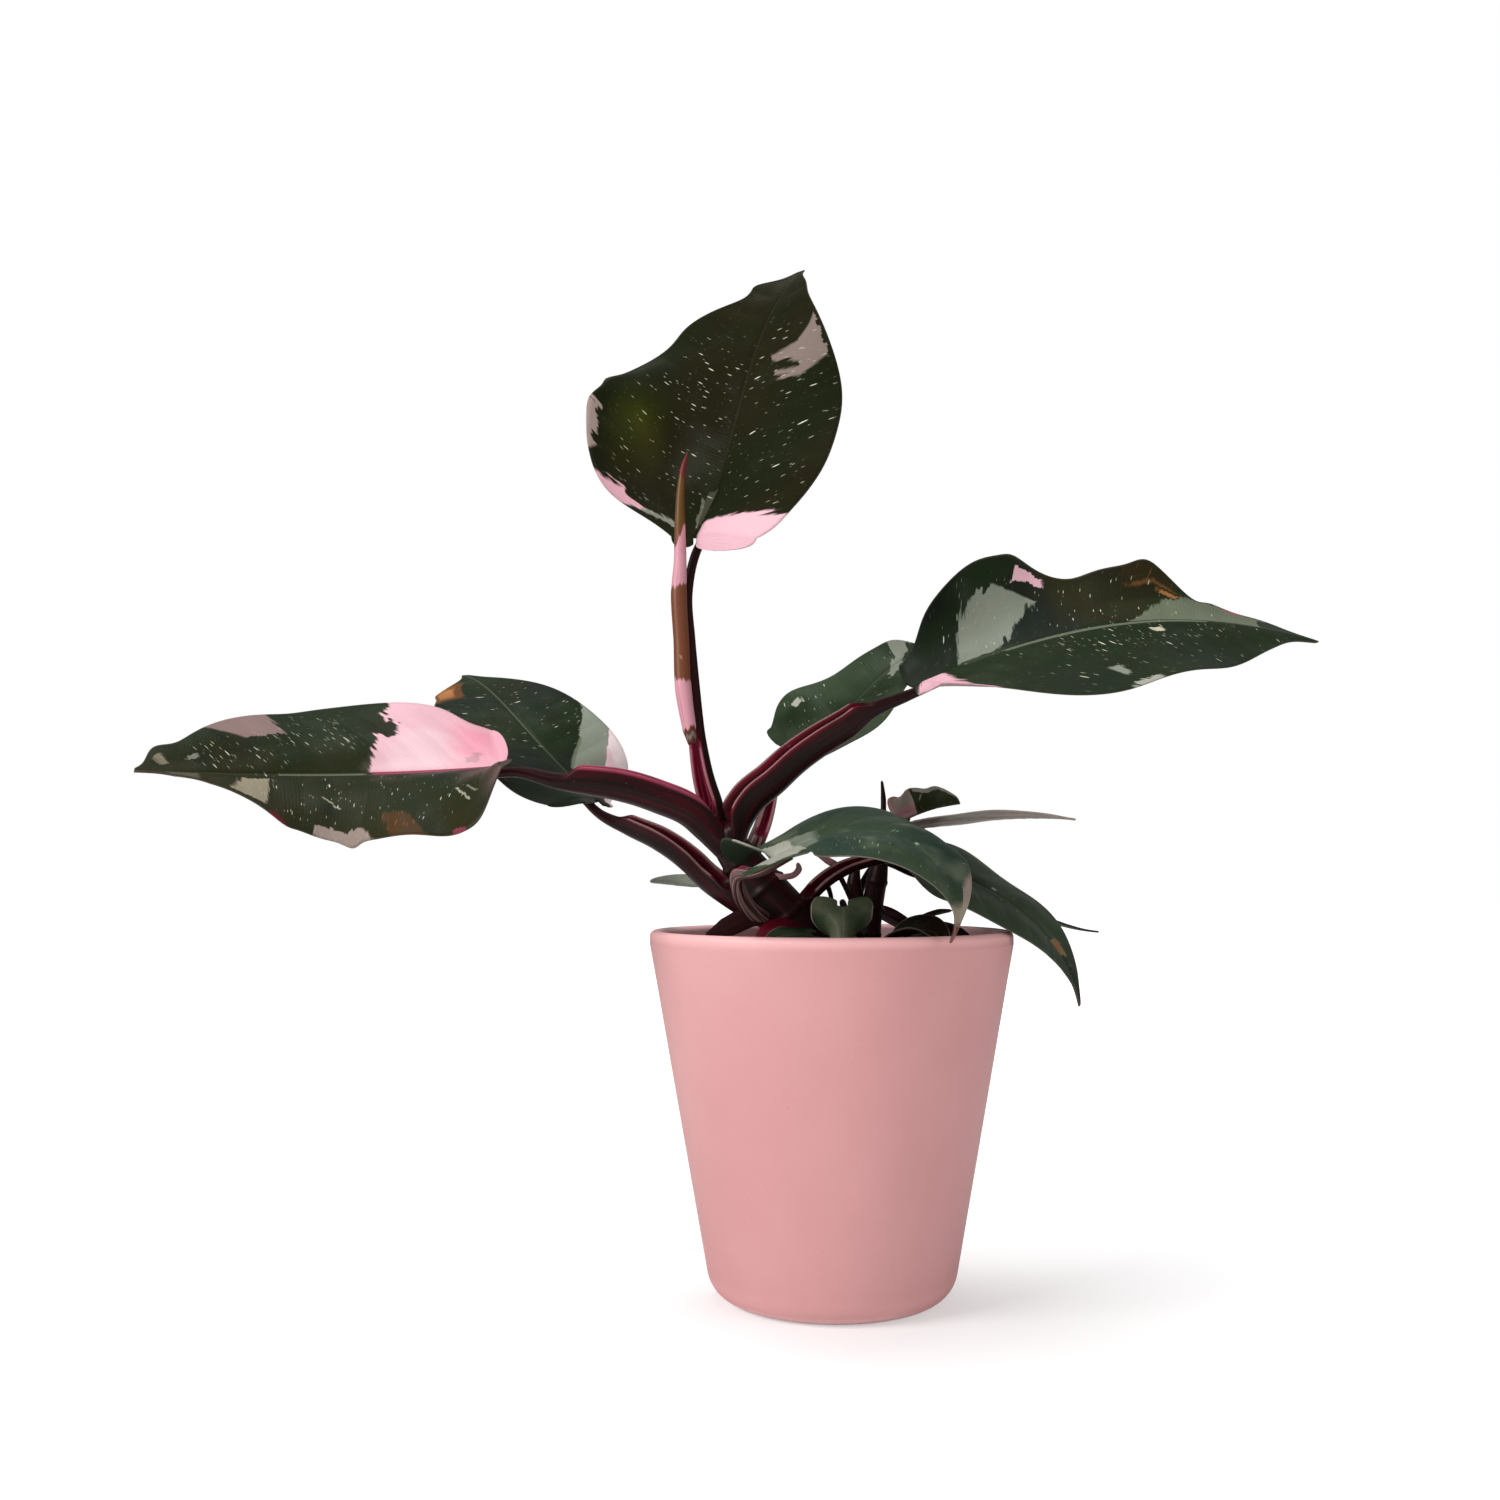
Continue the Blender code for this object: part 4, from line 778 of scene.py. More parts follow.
LOOKS = {
    "leaf_top": look(
        "night_olive", "night_green", "dark_olive",
        [patch("glow_green", (-0.85, -0.50), (0.24, 0.44), (0.22, 0.38), soft=0.09, cover=0.22),
         patch("glow_green", (-0.72, -0.60), (0.33, 0.40), (0.31, 0.37), soft=0.05, cover=0.25),
         patch("pale_pink", (0.03, PAST), (-0.2, 0.045), (-0.2, 0.085)),
         patch("grey_white", (-0.99, -0.55), (0.10, 0.13), (0.02, 0.055), streaky=0.5),
         patch("grey_pink", (-PAST, -0.93), (0.19, 0.38), (0.24, 0.35)),
         patch("pink", (-PAST, -0.80), (0.10, 0.23), (0.09, 0.15)),
         patch("taupe", (0.33, 0.62), (0.525, 0.545), (0.53, 0.56)),
         patch("taupe", (0.28, 0.63), (0.585, 0.605), (0.575, 0.655)),
         patch("taupe", (0.60, 0.93), (0.53, 0.655), (0.61, 0.75)),
         patch("cream", (-0.05, 0.05), (0.02, 0.14), (0.13, 0.15), cover=0.7, streaky=0.9),
         patch("cream", (-0.10, -0.055), (0.02, 0.13), (0.04, 0.12), cover=0.7, streaky=0.8)],
        [flecks("cream", 0.20, (-0.8, -0.05), (0.12, 0.66)), flecks("cream", 0.13, (0.05, 0.95), (0.1, 0.72))],
        rib_line=0.03, edge_line=0.08, wax=0.4),
    "leaf_left": look(
        "deep_green", "olive", "teal_black",
        [patch("pale_pink", (0.02, PAST), (-0.2, 0.35), (-0.2, 0.20)),
         patch("blush_white", (0.05, 0.6), (0.08, 0.33), (0.05, 0.2), soft=0.06, cover=0.3),
         patch("dark_olive", (0.50, 0.72), (0.245, 0.30), (0.225, 0.30)),
         patch("blush", (0.02, PAST), (-0.2, 0.12), (-0.2, 0.06), soft=0.05, cover=0.28),
         patch("blush", (0.30, 0.85), (0.02, 0.10), (0.0, 0.08), soft=0.05, cover=0.35),
         patch("crimson_pink", (-0.012, 0.022), (-0.2, 0.34), (-0.2, 0.34), cover=0.7),
         patch("grey", (0.12, 0.40), (0.055, 0.085), (0.03, 0.05), streaky=0.6),
         patch("mauve", (0.60, PAST), (0.53, 0.64), (0.55, 0.78), cover=0.8),
         patch("rust", (-PAST, -0.68), (0.27, 0.42), (0.33, 0.40), cover=0.75, streaky=0.8),
         patch("crimson_pink", (-PAST, -0.95), (0.17, 0.20), (0.16, 0.20), cover=0.5),
         patch("grey_pink", (-PAST, -0.84), (0.45, 0.63), (0.47, 0.60), streaky=0.25),
         patch("beige", (-0.75, -0.12), (0.72, 0.80), (0.63, 0.72), streaky=0.2),
         patch("grey_green", (-0.6, -0.05), (0.86, 0.92), (0.83, 0.92), cover=0.6, streaky=0.5),
         patch("crimson", (-PAST, -0.88), (0.68, 0.74), (0.70, 0.72), cover=0.7),
         patch("beige", (0.35, 0.75), (0.885, 0.91), (0.89, 0.92), streaky=0.5),
         patch("grey_white", (0.45, 0.56), (0.80, 0.83), (0.80, 0.83), streaky=0.6),
         patch("cream", (-0.72, -0.50), (0.115, 0.122), (0.14, 0.147), soft=0.003, cover=0.8, streaky=0.5),
         patch("cream", (-0.66, -0.52), (0.09, 0.096), (0.11, 0.116), soft=0.003, cover=0.5, streaky=0.5),
         patch("cream", (-0.56, -0.40), (0.50, 0.507), (0.525, 0.532), soft=0.003, cover=0.7, streaky=0.5),
         patch("soft_green", (-0.02, 0.012), (0.36, 0.60), (0.36, 0.60), soft=0.01, cover=0.7)],
        [flecks("cream", 0.42, (0.3, 0.9), (0.36, 0.56)), flecks("cream", 0.4, (0.1, 0.7), (0.56, 0.80)),
         flecks("cream", 0.14, (-0.8, 0.0), (0.1, 0.7))],
        rib_line=0.08),
    "leaf_back_left": look(
        "deep_green", "teal_black", "dark_olive",
        [patch("soft_green", (0.12, 0.55), (0.02, 0.17), (0.12, 0.34)),
         patch("grey_green", (0.12, 0.54), (0.03, 0.15), (0.14, 0.32), cover=0.9),
         patch("grey_green", (0.53, PAST), (0.13, 0.34), (0.50, 0.64)),
         patch("blush_white", (0.56, PAST), (-0.2, 0.14), (-0.2, 0.50)),
         patch("pink", (0.56, 0.8), (-0.2, 0.13), (-0.2, 0.28), soft=0.03, cover=0.6),
         patch("burnt", (-PAST, -0.50), (0.64, 0.90), (0.72, 0.86), soft=0.02, cover=0.8),
         patch("amber", (-0.95, -0.66), (0.70, 0.84), (0.74, 0.82), soft=0.03, cover=0.75, streaky=0.2)],
        [flecks("cream", 0.08)], rib_line=0.35),
    "leaf_right": look(
        "teal_black", "deep_green", "dark_olive",
        [patch("deep_green", (0.0, PAST), (0.05, 1.0), (0.05, 1.0), soft=0.05, cover=0.6),
         patch("burnt", (-PAST, -0.15), (0.38, 0.70), (0.42, 0.62), soft=0.07, cover=0.18, streaky=0.6),
         patch("pink", (0.0, PAST), (0.0, 0.045), (-0.1, 0.075)),
         patch("grey_green", (-0.80, -0.60), (0.23, 0.29), (0.17, 0.37), streaky=0.12),
         patch("grey_green", (-0.61, -0.14), (0.17, 0.37), (0.10, 0.20), streaky=0.12),
         patch("pale_pink", (-0.90, -0.78), (0.365, 0.425), (0.33, 0.41)),
         patch("black_maroon", (-PAST, -0.55), (0.56, 0.72), (0.52, 0.68), soft=0.04, cover=0.6, streaky=0.4),
         patch("amber", (-0.90, -0.85), (0.585, 0.66), (0.585, 0.66), soft=0.02, cover=0.35, streaky=1.0),
         patch("amber", (-0.79, -0.74), (0.60, 0.70), (0.60, 0.70), soft=0.02, cover=0.9, streaky=0.8),
         patch("rust", (-0.98, -0.72), (0.60, 0.71), (0.60, 0.69), cover=0.3, streaky=0.9),
         patch("amber", (-0.70, -0.62), (0.665, 0.71), (0.66, 0.69), cover=0.9, streaky=0.4),
         patch("soft_green", (-0.96, -0.60), (0.74, 0.90), (0.70, 0.86), cover=0.85),
         patch("soft_green", (-0.61, -0.05), (0.69, 0.86), (0.52, 0.86), cover=0.9),
         patch("crimson_pink", (-PAST, -0.86), (0.80, 0.85), (0.81, 0.84), cover=0.55),
         patch("grey_green", (0.62, 0.78), (0.335, 0.37), (0.345, 0.36)),
         patch("grey_white", (0.93, PAST), (0.32, 0.40), (0.32, 0.40), cover=0.8),
         patch("soft_green", (-0.03, 0.02), (0.20, 0.72), (0.20, 0.72), cover=0.8),
         patch("cream", (0.10, 0.16), (0.55, 0.58), (0.56, 0.585), cover=0.7)],
        [flecks("cream", 0.3, (0.02, 0.34), (0.3, 0.78)), flecks("cream", 0.08)],
        rib_line=0.1),
    "leaf_back_right": look(
        "mid_green", "deep_green", "mid_green",
        [patch("grey_green", (-PAST, -0.3), (0.85, 0.92), (0.78, 0.86)),
         patch("grey_green", (-0.31, 0.36), (0.78, 0.86), (0.60, 0.70)),
         patch("grey_white", (-0.8, -0.68), (0.23, 0.32), (0.24, 0.30), cover=0.8)],
        [flecks("cream", 0.1)], rib_line=0.15),
    "leaf_front": look(
        "mid_green", "sea_green", "soft_green",
        [patch("grey_white", (-0.30, 0.70), (-0.10, 0.08), (-0.12, 0.10), cover=0.85, streaky=0.15),
         patch("grey_green", (-0.30, 0.60), (0.08, 0.17), (0.10, 0.20), soft=0.02, cover=0.6),
         patch("light_green", (-0.08, -0.03), (0.57, 0.585), (0.57, 0.585)),
         patch("grey_pink", (-PAST, -0.50), (0.74, 0.88), (0.80, 0.88), soft=0.02, cover=0.8),
         patch("beige", (-PAST, PAST), (0.86, 0.94), (0.86, 0.94), soft=0.02, cover=0.75),
         patch("crimson", (-PAST, PAST), (0.935, 1.2), (0.935, 1.2))],
        [flecks("light_green", 0.12)],
        under="mid_green", rib_line=0.05, edge_line=0.4),
    "leaf_front_low": look(
        "mid_green", "deep_green", "mid_green",
        [patch("tan", (-0.35, 0.08), (0.70, 0.80), (0.70, 0.77), streaky=0.3),
         patch("rust", (-0.30, 0.02), (0.72, 0.77), (0.72, 0.76), streaky=0.5),
         patch("light_green", (-0.12, -0.06), (0.38, 0.40), (0.38, 0.40))],
        [flecks("light_green", 0.12)], rib_line=0.08, edge_line=0.3),
    "leaf_young_cupped": look(
        "dark_olive", "mid_green", "olive",
        [patch("grey_pink", (-PAST, PAST), (-0.2, 0.30), (-0.2, 0.24)),
         patch("blush", (-PAST, 0.5), (-0.2, 0.30), (-0.2, 0.24), soft=0.05, cover=0.3),
         patch("grey_white", (-PAST, -0.86), (0.3, 1.1), (0.3, 1.1), soft=0.02, cover=0.6),
         patch("grey_white", (0.84, PAST), (0.3, 1.1), (0.3, 1.1), soft=0.02, cover=0.6)],
        [flecks("light_green", 0.2)], under="dark_olive", rib_line=0.3, edge_line=0.9),
    "leaf_young_narrow": look(
        "grey_pink", "grey_green", "grey_white",
        [patch("black_maroon", (-PAST, PAST), (-0.2, 1.2), (-0.2, 1.2), cover=0.6, streaky=1.0),
         patch("black_maroon", (-PAST, PAST), (-0.2, 0.14), (-0.2, 0.14), soft=0.05, cover=0.8)],
        under="grey_pink", rib_line=0.0, edge_line=0.4),
    "leaf_low_right": look("maroon", "deep_green", "black_maroon", under="black_maroon"),
    "leaf_pale_left": look("grey_green", "grey_white", "soft_green", under="grey_green", edge_line=0.0),
    "leaf_heart_hanging": look(
        "sage", "mid_green", "sage", spots=[flecks("light_green", 0.1)], under="sage",
        rib_line=0.15, edge_line=0.9),
    "leaf_low_front": look("mid_green", "deep_green", "dark_olive", edge_line=0.4),
    "leaf_low_narrow": look("deep_green", "maroon", "black_maroon", under="black_maroon"),
    "leaf_low_curled": look("deep_green", "maroon", "dark_olive", under="black_maroon", edge_line=0.4),
    "leaf_low_round": look("deep_green", "maroon", "dark_olive", under="black_maroon", edge_line=0.4),
}

# %% [markdown]
# ## The finish of a blade
#
# The skin is smooth and waxy, so it takes soft broad highlights. Under the patches the green drifts between
# three tones. Fine veins show as relief that is too fine for the mesh. The midrib is a pale line, the margin
# a thin pale or pink edge, and the underside a dull red-brown under the green.

# %% Blade material
LEAF_ROUGHNESS = 0.32
LEAF_SHEEN = 0.08


def leaf_ground(w, look, along, across, out):
    """The green under the patches: three tones that drift into each other."""
    cloud = w.step(w.noise(w.place(), 24.0, 3.0), 0.36, 0.64)
    colour = w.mix(cloud, COLOURS[look["ground"]], COLOURS[look["second"]])
    drift = w.step(w.noise(w.place(), 60.0, 2.0), 0.5, 0.75)
    return w.mix(w.maths("MULTIPLY", drift, 0.6), colour, COLOURS[look["third"]])


def leaf_material(name, look, seed):
    material, w, shader = new_material(f"skin_of_{name}", LEAF_ROUGHNESS, LEAF_SHEEN * look["wax"])
    place, vein = w.note("place"), w.note("vein")
    along, across, under = w.parts(place)
    _, out, _ = w.parts(vein)
    veins = w.group(FINE_VEINS, Vein=vein)
    colour = leaf_ground(w, look, along, across, out)
    ragged = w.group(RAGGED, Place=place, Vein=vein, Shift_Along=0.02, Shift_Across=0.07, Strip=1.7,
                     Seed=float(seed))

    def area(spot, soft):
        (start, end), (low, high), (low_end, high_end) = spot["across"], spot["start"], spot["end"]
        return w.group(PATCH, Along=ragged["Along"], Across=ragged["Across"], From=start, To=end,
                       Low_From=low, High_From=high, Low_To=low_end, High_To=high_end, Soft=soft)["Mask"]

    streaks = w.group(FLECKS, Vein=vein, Size=0.9, Stretch=9.0, Density=0.75, Seed=seed + 0.5)["Mask"]
    for spot in look["patches"]:
        cover = w.maths("MULTIPLY", area(spot, spot["soft"]), spot["cover"])
        if spot["streaky"]:
            cover = w.maths("MULTIPLY", cover, w.maths("MULTIPLY_ADD", streaks, spot["streaky"],
                                                       1.0 - spot["streaky"]))
        colour = w.mix(cover, colour, COLOURS[spot["tone"]])
    for number, spot in enumerate(look["flecks"]):
        for size, share, strength in ((1.4, 0.45, 0.85), (0.95, 1.0, 0.6), (0.7, 1.0, 0.4)):
            spots = w.group(FLECKS, Vein=vein, Size=size, Stretch=5.0, Density=spot["density"] * share,
                            Seed=seed + number * 3.7 + size)
            cover = w.maths("MULTIPLY", spots["Mask"], area(spot, 0.05))
            colour = w.mix(w.maths("MULTIPLY", cover, strength), colour, COLOURS[spot["tone"]])
    specks = w.group(FLECKS, Vein=vein, Size=1.1, Stretch=1.6, Density=0.3, Seed=seed + 7.7)
    colour = w.mix(w.maths("MULTIPLY", specks["Mask"], 0.16), colour, COLOURS["soft_green"])
    rib_line = w.maths("SUBTRACT", 1.0, w.step(w.maths("ABSOLUTE", out), 0.3, 0.65))
    colour = w.mix(w.maths("MULTIPLY", rib_line, look["rib_line"]), colour, COLOURS["soft_green"])
    far = w.maths("ABSOLUTE", out)
    margin = w.maths("SUBTRACT", w.maths("DIVIDE", far, w.maths("MAXIMUM", w.maths("ABSOLUTE", across), 0.05)), far)
    edge = w.maths("SUBTRACT", 1.0, w.step(margin, 0.3, 0.6))
    colour = w.mix(w.maths("MULTIPLY", edge, look["edge_line"]), colour, COLOURS["grey_pink"])
    colour = w.mix(w.maths("MULTIPLY", under, 0.45), colour, COLOURS[look["under"]])
    w.plug(shader.inputs["Base Color"], colour)
    wax = w.noise(w.place(), 60.0, 2.0)
    w.plug(shader.inputs["Roughness"], w.maths("MULTIPLY_ADD", wax, 0.16, LEAF_ROUGHNESS - 0.08))
    bump = w.put("ShaderNodeBump")
    bump.inputs["Strength"].default_value = 0.25
    bump.inputs["Distance"].default_value = 0.0003
    w.plug(bump.inputs["Height"], veins["Height"])
    w.plug(shader.inputs["Normal"], bump.outputs["Normal"])
    return material


# %% Make the blades
LARGE_GRID = dict(rows=118, lobe_rows=12, columns=36, spacing=12.5)
SMALL_GRID = dict(rows=56, lobe_rows=8, columns=14, spacing=5.5)

for number, (name, measures) in enumerate(ALL_LEAVES.items()):
    size = LARGE_GRID if name in LARGE_LEAVES else SMALL_GRID
    points, quads, notes = blade_surface(measures, **size)
    skin = leaf_material(name, LOOKS[name], number * 11 + 3)
    make_piece(f"{name}_blade", points, quads, skin, [name], notes=notes)
    print(f"{name}: {len(quads)} faces")

# %% [markdown]
# ## Stems and stalks
#
# Each leaf stands on a stalk. Low down the stalk opens into a sheath: a channel with two thin upright wings
# that once held the next leaf. Its section is an arc below, two wings at the sides and a hollow between them,
# and it turns into a round stalk further up. The section is carried along a smooth curve from the stem to the
# blade. The stem itself is a thick round path with low rings where older leaves were.

# %% Table of stalks
MAIN_STALKS = {
    "top": dict(
        points=[(-44.5, 2, 178), (-47, 3, 189), (-49, 3.5, 196), (-52, 4, 214.5), (-53.5, 4.5, 233),
                (-55, 5, 253.5), (-56, 6, 272)],
        radii=(5.0, 4.9, 4.5, 3.3, 2.6, 2.1, 1.9, 1.8), wings=3.0, sheath=(0.02, 0.1, 0.26, 0.34),
        opens=(-0.5, -1.0, 0.0), blade="leaf_top"),
    "left": dict(
        points=[(-40, 0, 171), (-48.5, -2, 179.8), (-54.5, -4, 185.2), (-66, -6, 190.3),
                (-80, -8.5, 194.5), (-92.5, -10.5, 196), (-103.5, -11.5, 196.5)],
        radii=(5.5, 6.0, 6.2, 6.2, 5.9, 5.0, 3.4, 2.1), wings=6.4, sheath=(0.08, 0.2, 0.62, 0.7),
        opens=(0.0, -0.2, 1.0), blade="leaf_left"),
    "back_left": dict(
        points=[(-30, 2, 147), (-40, 4, 153.5), (-48, 9, 159), (-55, 15, 165.5),
                (-67.5, 23, 174), (-80.5, 30, 179.5)],
        radii=(5.0, 5.0, 4.8, 4.6, 4.2, 3.2, 2.0), wings=5.2, sheath=(0.1, 0.22, 0.72, 0.8),
        opens=(0.2, -0.6, 1.0), blade="leaf_back_left"),
    "right": dict(
        points=[(-40, 0, 170), (-36.5, 0, 182), (-31.5, -1, 190), (-22.5, -2, 197.5), (-14, -2.5, 205),
                (-4, -3, 212), (7, -3.5, 218.5), (16, -4, 224.5)],
        radii=(6.0, 6.4, 6.6, 6.2, 5.8, 5.4, 4.8, 3.2, 2.1), wings=6.5, sheath=(0.06, 0.16, 0.68, 0.76),
        opens=(-0.3, -0.5, 1.0), blade="leaf_right"),
    "back_right": dict(
        points=[(-34, 4, 162), (-29, 13, 173.5), (-25.5, 21, 182.5), (-22.5, 29, 195), (-21.5, 33, 205)],
        radii=(3.6, 3.6, 3.4, 2.8, 2.2, 1.9), wings=2.6, sheath=(0.2, 0.3, 0.62, 0.72),
        opens=(0.3, -1.0, 0.4), blade="leaf_back_right"),
    "front": dict(
        points=[(-24, -3, 142), (-30.5, -12, 147), (-35, -22, 154), (-35.5, -32, 160.5)],
        radii=(3.4, 3.3, 3.0, 2.4, 1.9), wings=2.6, sheath=(0.2, 0.3, 0.6, 0.75),
        opens=(-0.5, 0.4, 0.8), blade="leaf_front"),
    "front_low": dict(
        points=[(-14, 2, 144), (-8.5, 1, 152.5), (-3, 0, 158), (4, 0, 162.5), (13, 1, 165.5)],
        radii=(3.3, 3.3, 3.2, 3.0, 2.4, 2.0), wings=3.0, sheath=(0.15, 0.25, 0.7, 0.82),
        opens=(0.2, -1.0, 0.8), blade="leaf_front_low"),
    "pale_left": dict(
        points=[(-33, 6, 151), (-37, 14, 154.5)], radii=(1.6, 1.5, 1.2), wings=0.0, blade="leaf_pale_left"),
}

SECOND_STALKS = {
    "young_cupped": dict(points=[(21.5, 20, 167), (23.5, 20.5, 178)], radii=(1.8, 1.6, 1.2)),
    "young_narrow": dict(points=[(21.5, 20, 166), (23, 19.5, 176), (26.5, 19, 180)],
                         radii=(1.8, 1.5, 1.3, 1.0)),
    "low_right": dict(points=[(15.5, 22, 126.5), (13.5, 26.5, 139.5), (14, 26.5, 156), (20.5, 28, 165)],
                      radii=(1.9, 1.7, 1.5, 1.4, 1.2)),
    "heart_hanging": dict(points=[(15.5, 18, 126), (14, 1, 133), (6, -11, 145.5)], radii=(1.6, 1.4, 1.3, 1.1)),
    "low_front": dict(points=[(15.5, 18, 125), (14, 3, 127.5), (4, -12, 131)], radii=(1.5, 1.3, 1.2, 1.1)),
    "low_narrow": dict(points=[(17, 22, 127), (16, 30, 137)], radii=(1.5, 1.3, 1.1)),
    "low_curled": dict(points=[(17, 19, 126), (19.5, 5, 128.5)], radii=(1.5, 1.3, 1.1)),
    "low_round": dict(points=[(18, 20, 126), (24, 15, 129.5)], radii=(1.5, 1.3, 1.1)),
}

STEM_FOOT = 104.0
STEMS = {
    "main": dict(points=[(-44, 2, 181), (-41, 2, 175), (-35, 2, 166.5), (-25, 2, 154), (-14, 2, 141.5),
                         (-8, 2, 131), (-7, 2, 122), (-7, 2, STEM_FOOT)],
                 radii=(4.5, 6.3, 7.8, 9.2, 9.3, 8.8, 8.5, 8.5)),
    "second": dict(points=[(22, 20, 171), (20, 20, 160), (18, 21, 149), (16.5, 21, 134.5), (16, 21, 123.5),
                           (16, 21, STEM_FOOT)],
                   radii=(2.4, 4.0, 4.3, 4.4, 4.4, 4.4)),
}
LIMBS = {
    "root_front": dict(points=[(3.5, 4, 161), (7, 6, 154), (10, 4, 145), (10.5, 3, 135), (10.5, 3, 129)],
                       radii=(1.1, 1.0, 0.9, 0.9, 0.6)),
    "root_back": dict(points=[(-1.5, 3, 158), (0.5, 6, 152), (1, 10, 142), (1.5, 12, 130)],
                      radii=(1.1, 0.9, 0.8, 0.6)),
    "bract_pink": dict(points=[(5, 5, 162), (2, 2, 164.5), (-1.5, 0, 166.5), (-5.5, -2, 168.5)],
                       radii=(1.4, 1.8, 1.6, 0.5), flat=0.5, opens=(0, -1, 0.6)),
    "hook": dict(points=[(-25, 0, 161), (-17.5, -5, 160), (-14, -6, 161), (-12.5, -6, 163), (-13, -5.5, 165.5)],
                 radii=(1.3, 1.2, 1.2, 1.3, 0.6)),
    "scale_brown": dict(points=[(-20, -3, 146), (-31, -9, 145), (-40, -14, 141), (-48, -19, 138)],
                        radii=(4.0, 5.0, 4.4, 0.8), flat=0.3, opens=(0.2, -1, 0.9)),
    "scale_crimson": dict(points=[(-13, -3, 143), (-18, -9, 141.5), (-24, -12, 140), (-29, -14, 137)],
                          radii=(4.0, 4.6, 3.8, 0.8), flat=0.35, opens=(0.2, -1, 0.9)),
    "twig": dict(points=[(17.5, 22, 126.5), (27, 29, 134.5), (33.5, 37, 140), (40, 42, 143), (47.5, 46, 145),
                         (53.5, 49, 145.5)],
                 radii=(1.3, 1.1, 1.0, 1.0, 1.3, 0.6)),
    "spike": dict(points=[(22, 20.5, 169), (22.5, 24, 180), (23, 27, 191.5), (22.5, 28, 199)],
                  radii=(1.2, 1.2, 1.1, 0.5)),
    "second_sheath": dict(points=[(16.5, 21, 137), (13, 21, 147), (10.5, 21, 157), (11.5, 20.5, 165)],
                          radii=(2.4, 2.8, 3.0, 1.4)),
}

# %% Stalk surfaces
WING_LEAN = 0.25
WING_THICK = 1.0
CHANNEL_DEPTH = 0.3
OUTER_END = 125.0
INNER_END = 45.0
RUN_UP = 6.0


def lofted(rings):
    """Points, quads and end caps of a closed skin through rings: each cap is a fan round its middle."""
    count, around = rings.shape[:2]
    points = np.concatenate([rings.reshape(-1, 3), [rings[0].mean(0), rings[-1].mean(0)]])
    first = np.arange(around)
    last = first + (count - 1) * around
    hub = count * around
    caps = [np.stack([np.full(around, hub), np.roll(first, -1), first], 1),
            np.stack([np.full(around, hub + 1), last, np.roll(last, -1)], 1)]
    return points, ring_quads(count, around), np.concatenate(caps)


def stalk_end(blade, drop=SEAT_DROP):
    """The point under a blade's rib where its stalk ends, and the direction of the rib there."""
    _, p, t, _, n = midrib(blade)
    return p[0] - drop * RIB_DEPTH * blade["rib"] / RIB_HALF * n[0], t[0]


def limb_surface(points, radii, flat=1.0, opens=(0.3, -1, 0.2), stations=48, sides=24, ring=0.0):
    """A round or flattened section along a smooth curve, with a rounded end."""
    s = np.linspace(0, 1, stations)
    place = path_places(points)
    path = hermite(place, points, s)
    radius = np.interp(s, place, radii)
    radius = radius * (1 + ring * np.maximum(np.sin(s * 40), 0) ** 6)
    radius = radius * np.sqrt(np.clip(1 - np.clip((s - 0.96) / 0.0401, 0, 1) ** 2, 0.0025, 1))
    side, up = frames(path, opens)
    angle = np.linspace(0, 2 * math.pi, sides, endpoint=False)
    rings = path[:, None] + radius[:, None, None] * (
        np.sin(angle)[None, :, None] * side[:, None] + flat * np.cos(angle)[None, :, None] * up[:, None])
    points, quads, caps = lofted(rings)
    along = np.concatenate([np.repeat(s, sides), [0, 1]])
    turn = np.concatenate([np.tile(angle / math.pi, stations), [0, 0]])
    notes = {"skin": np.stack([along, 0 * along, turn], 1)}
    return points, quads, caps, notes


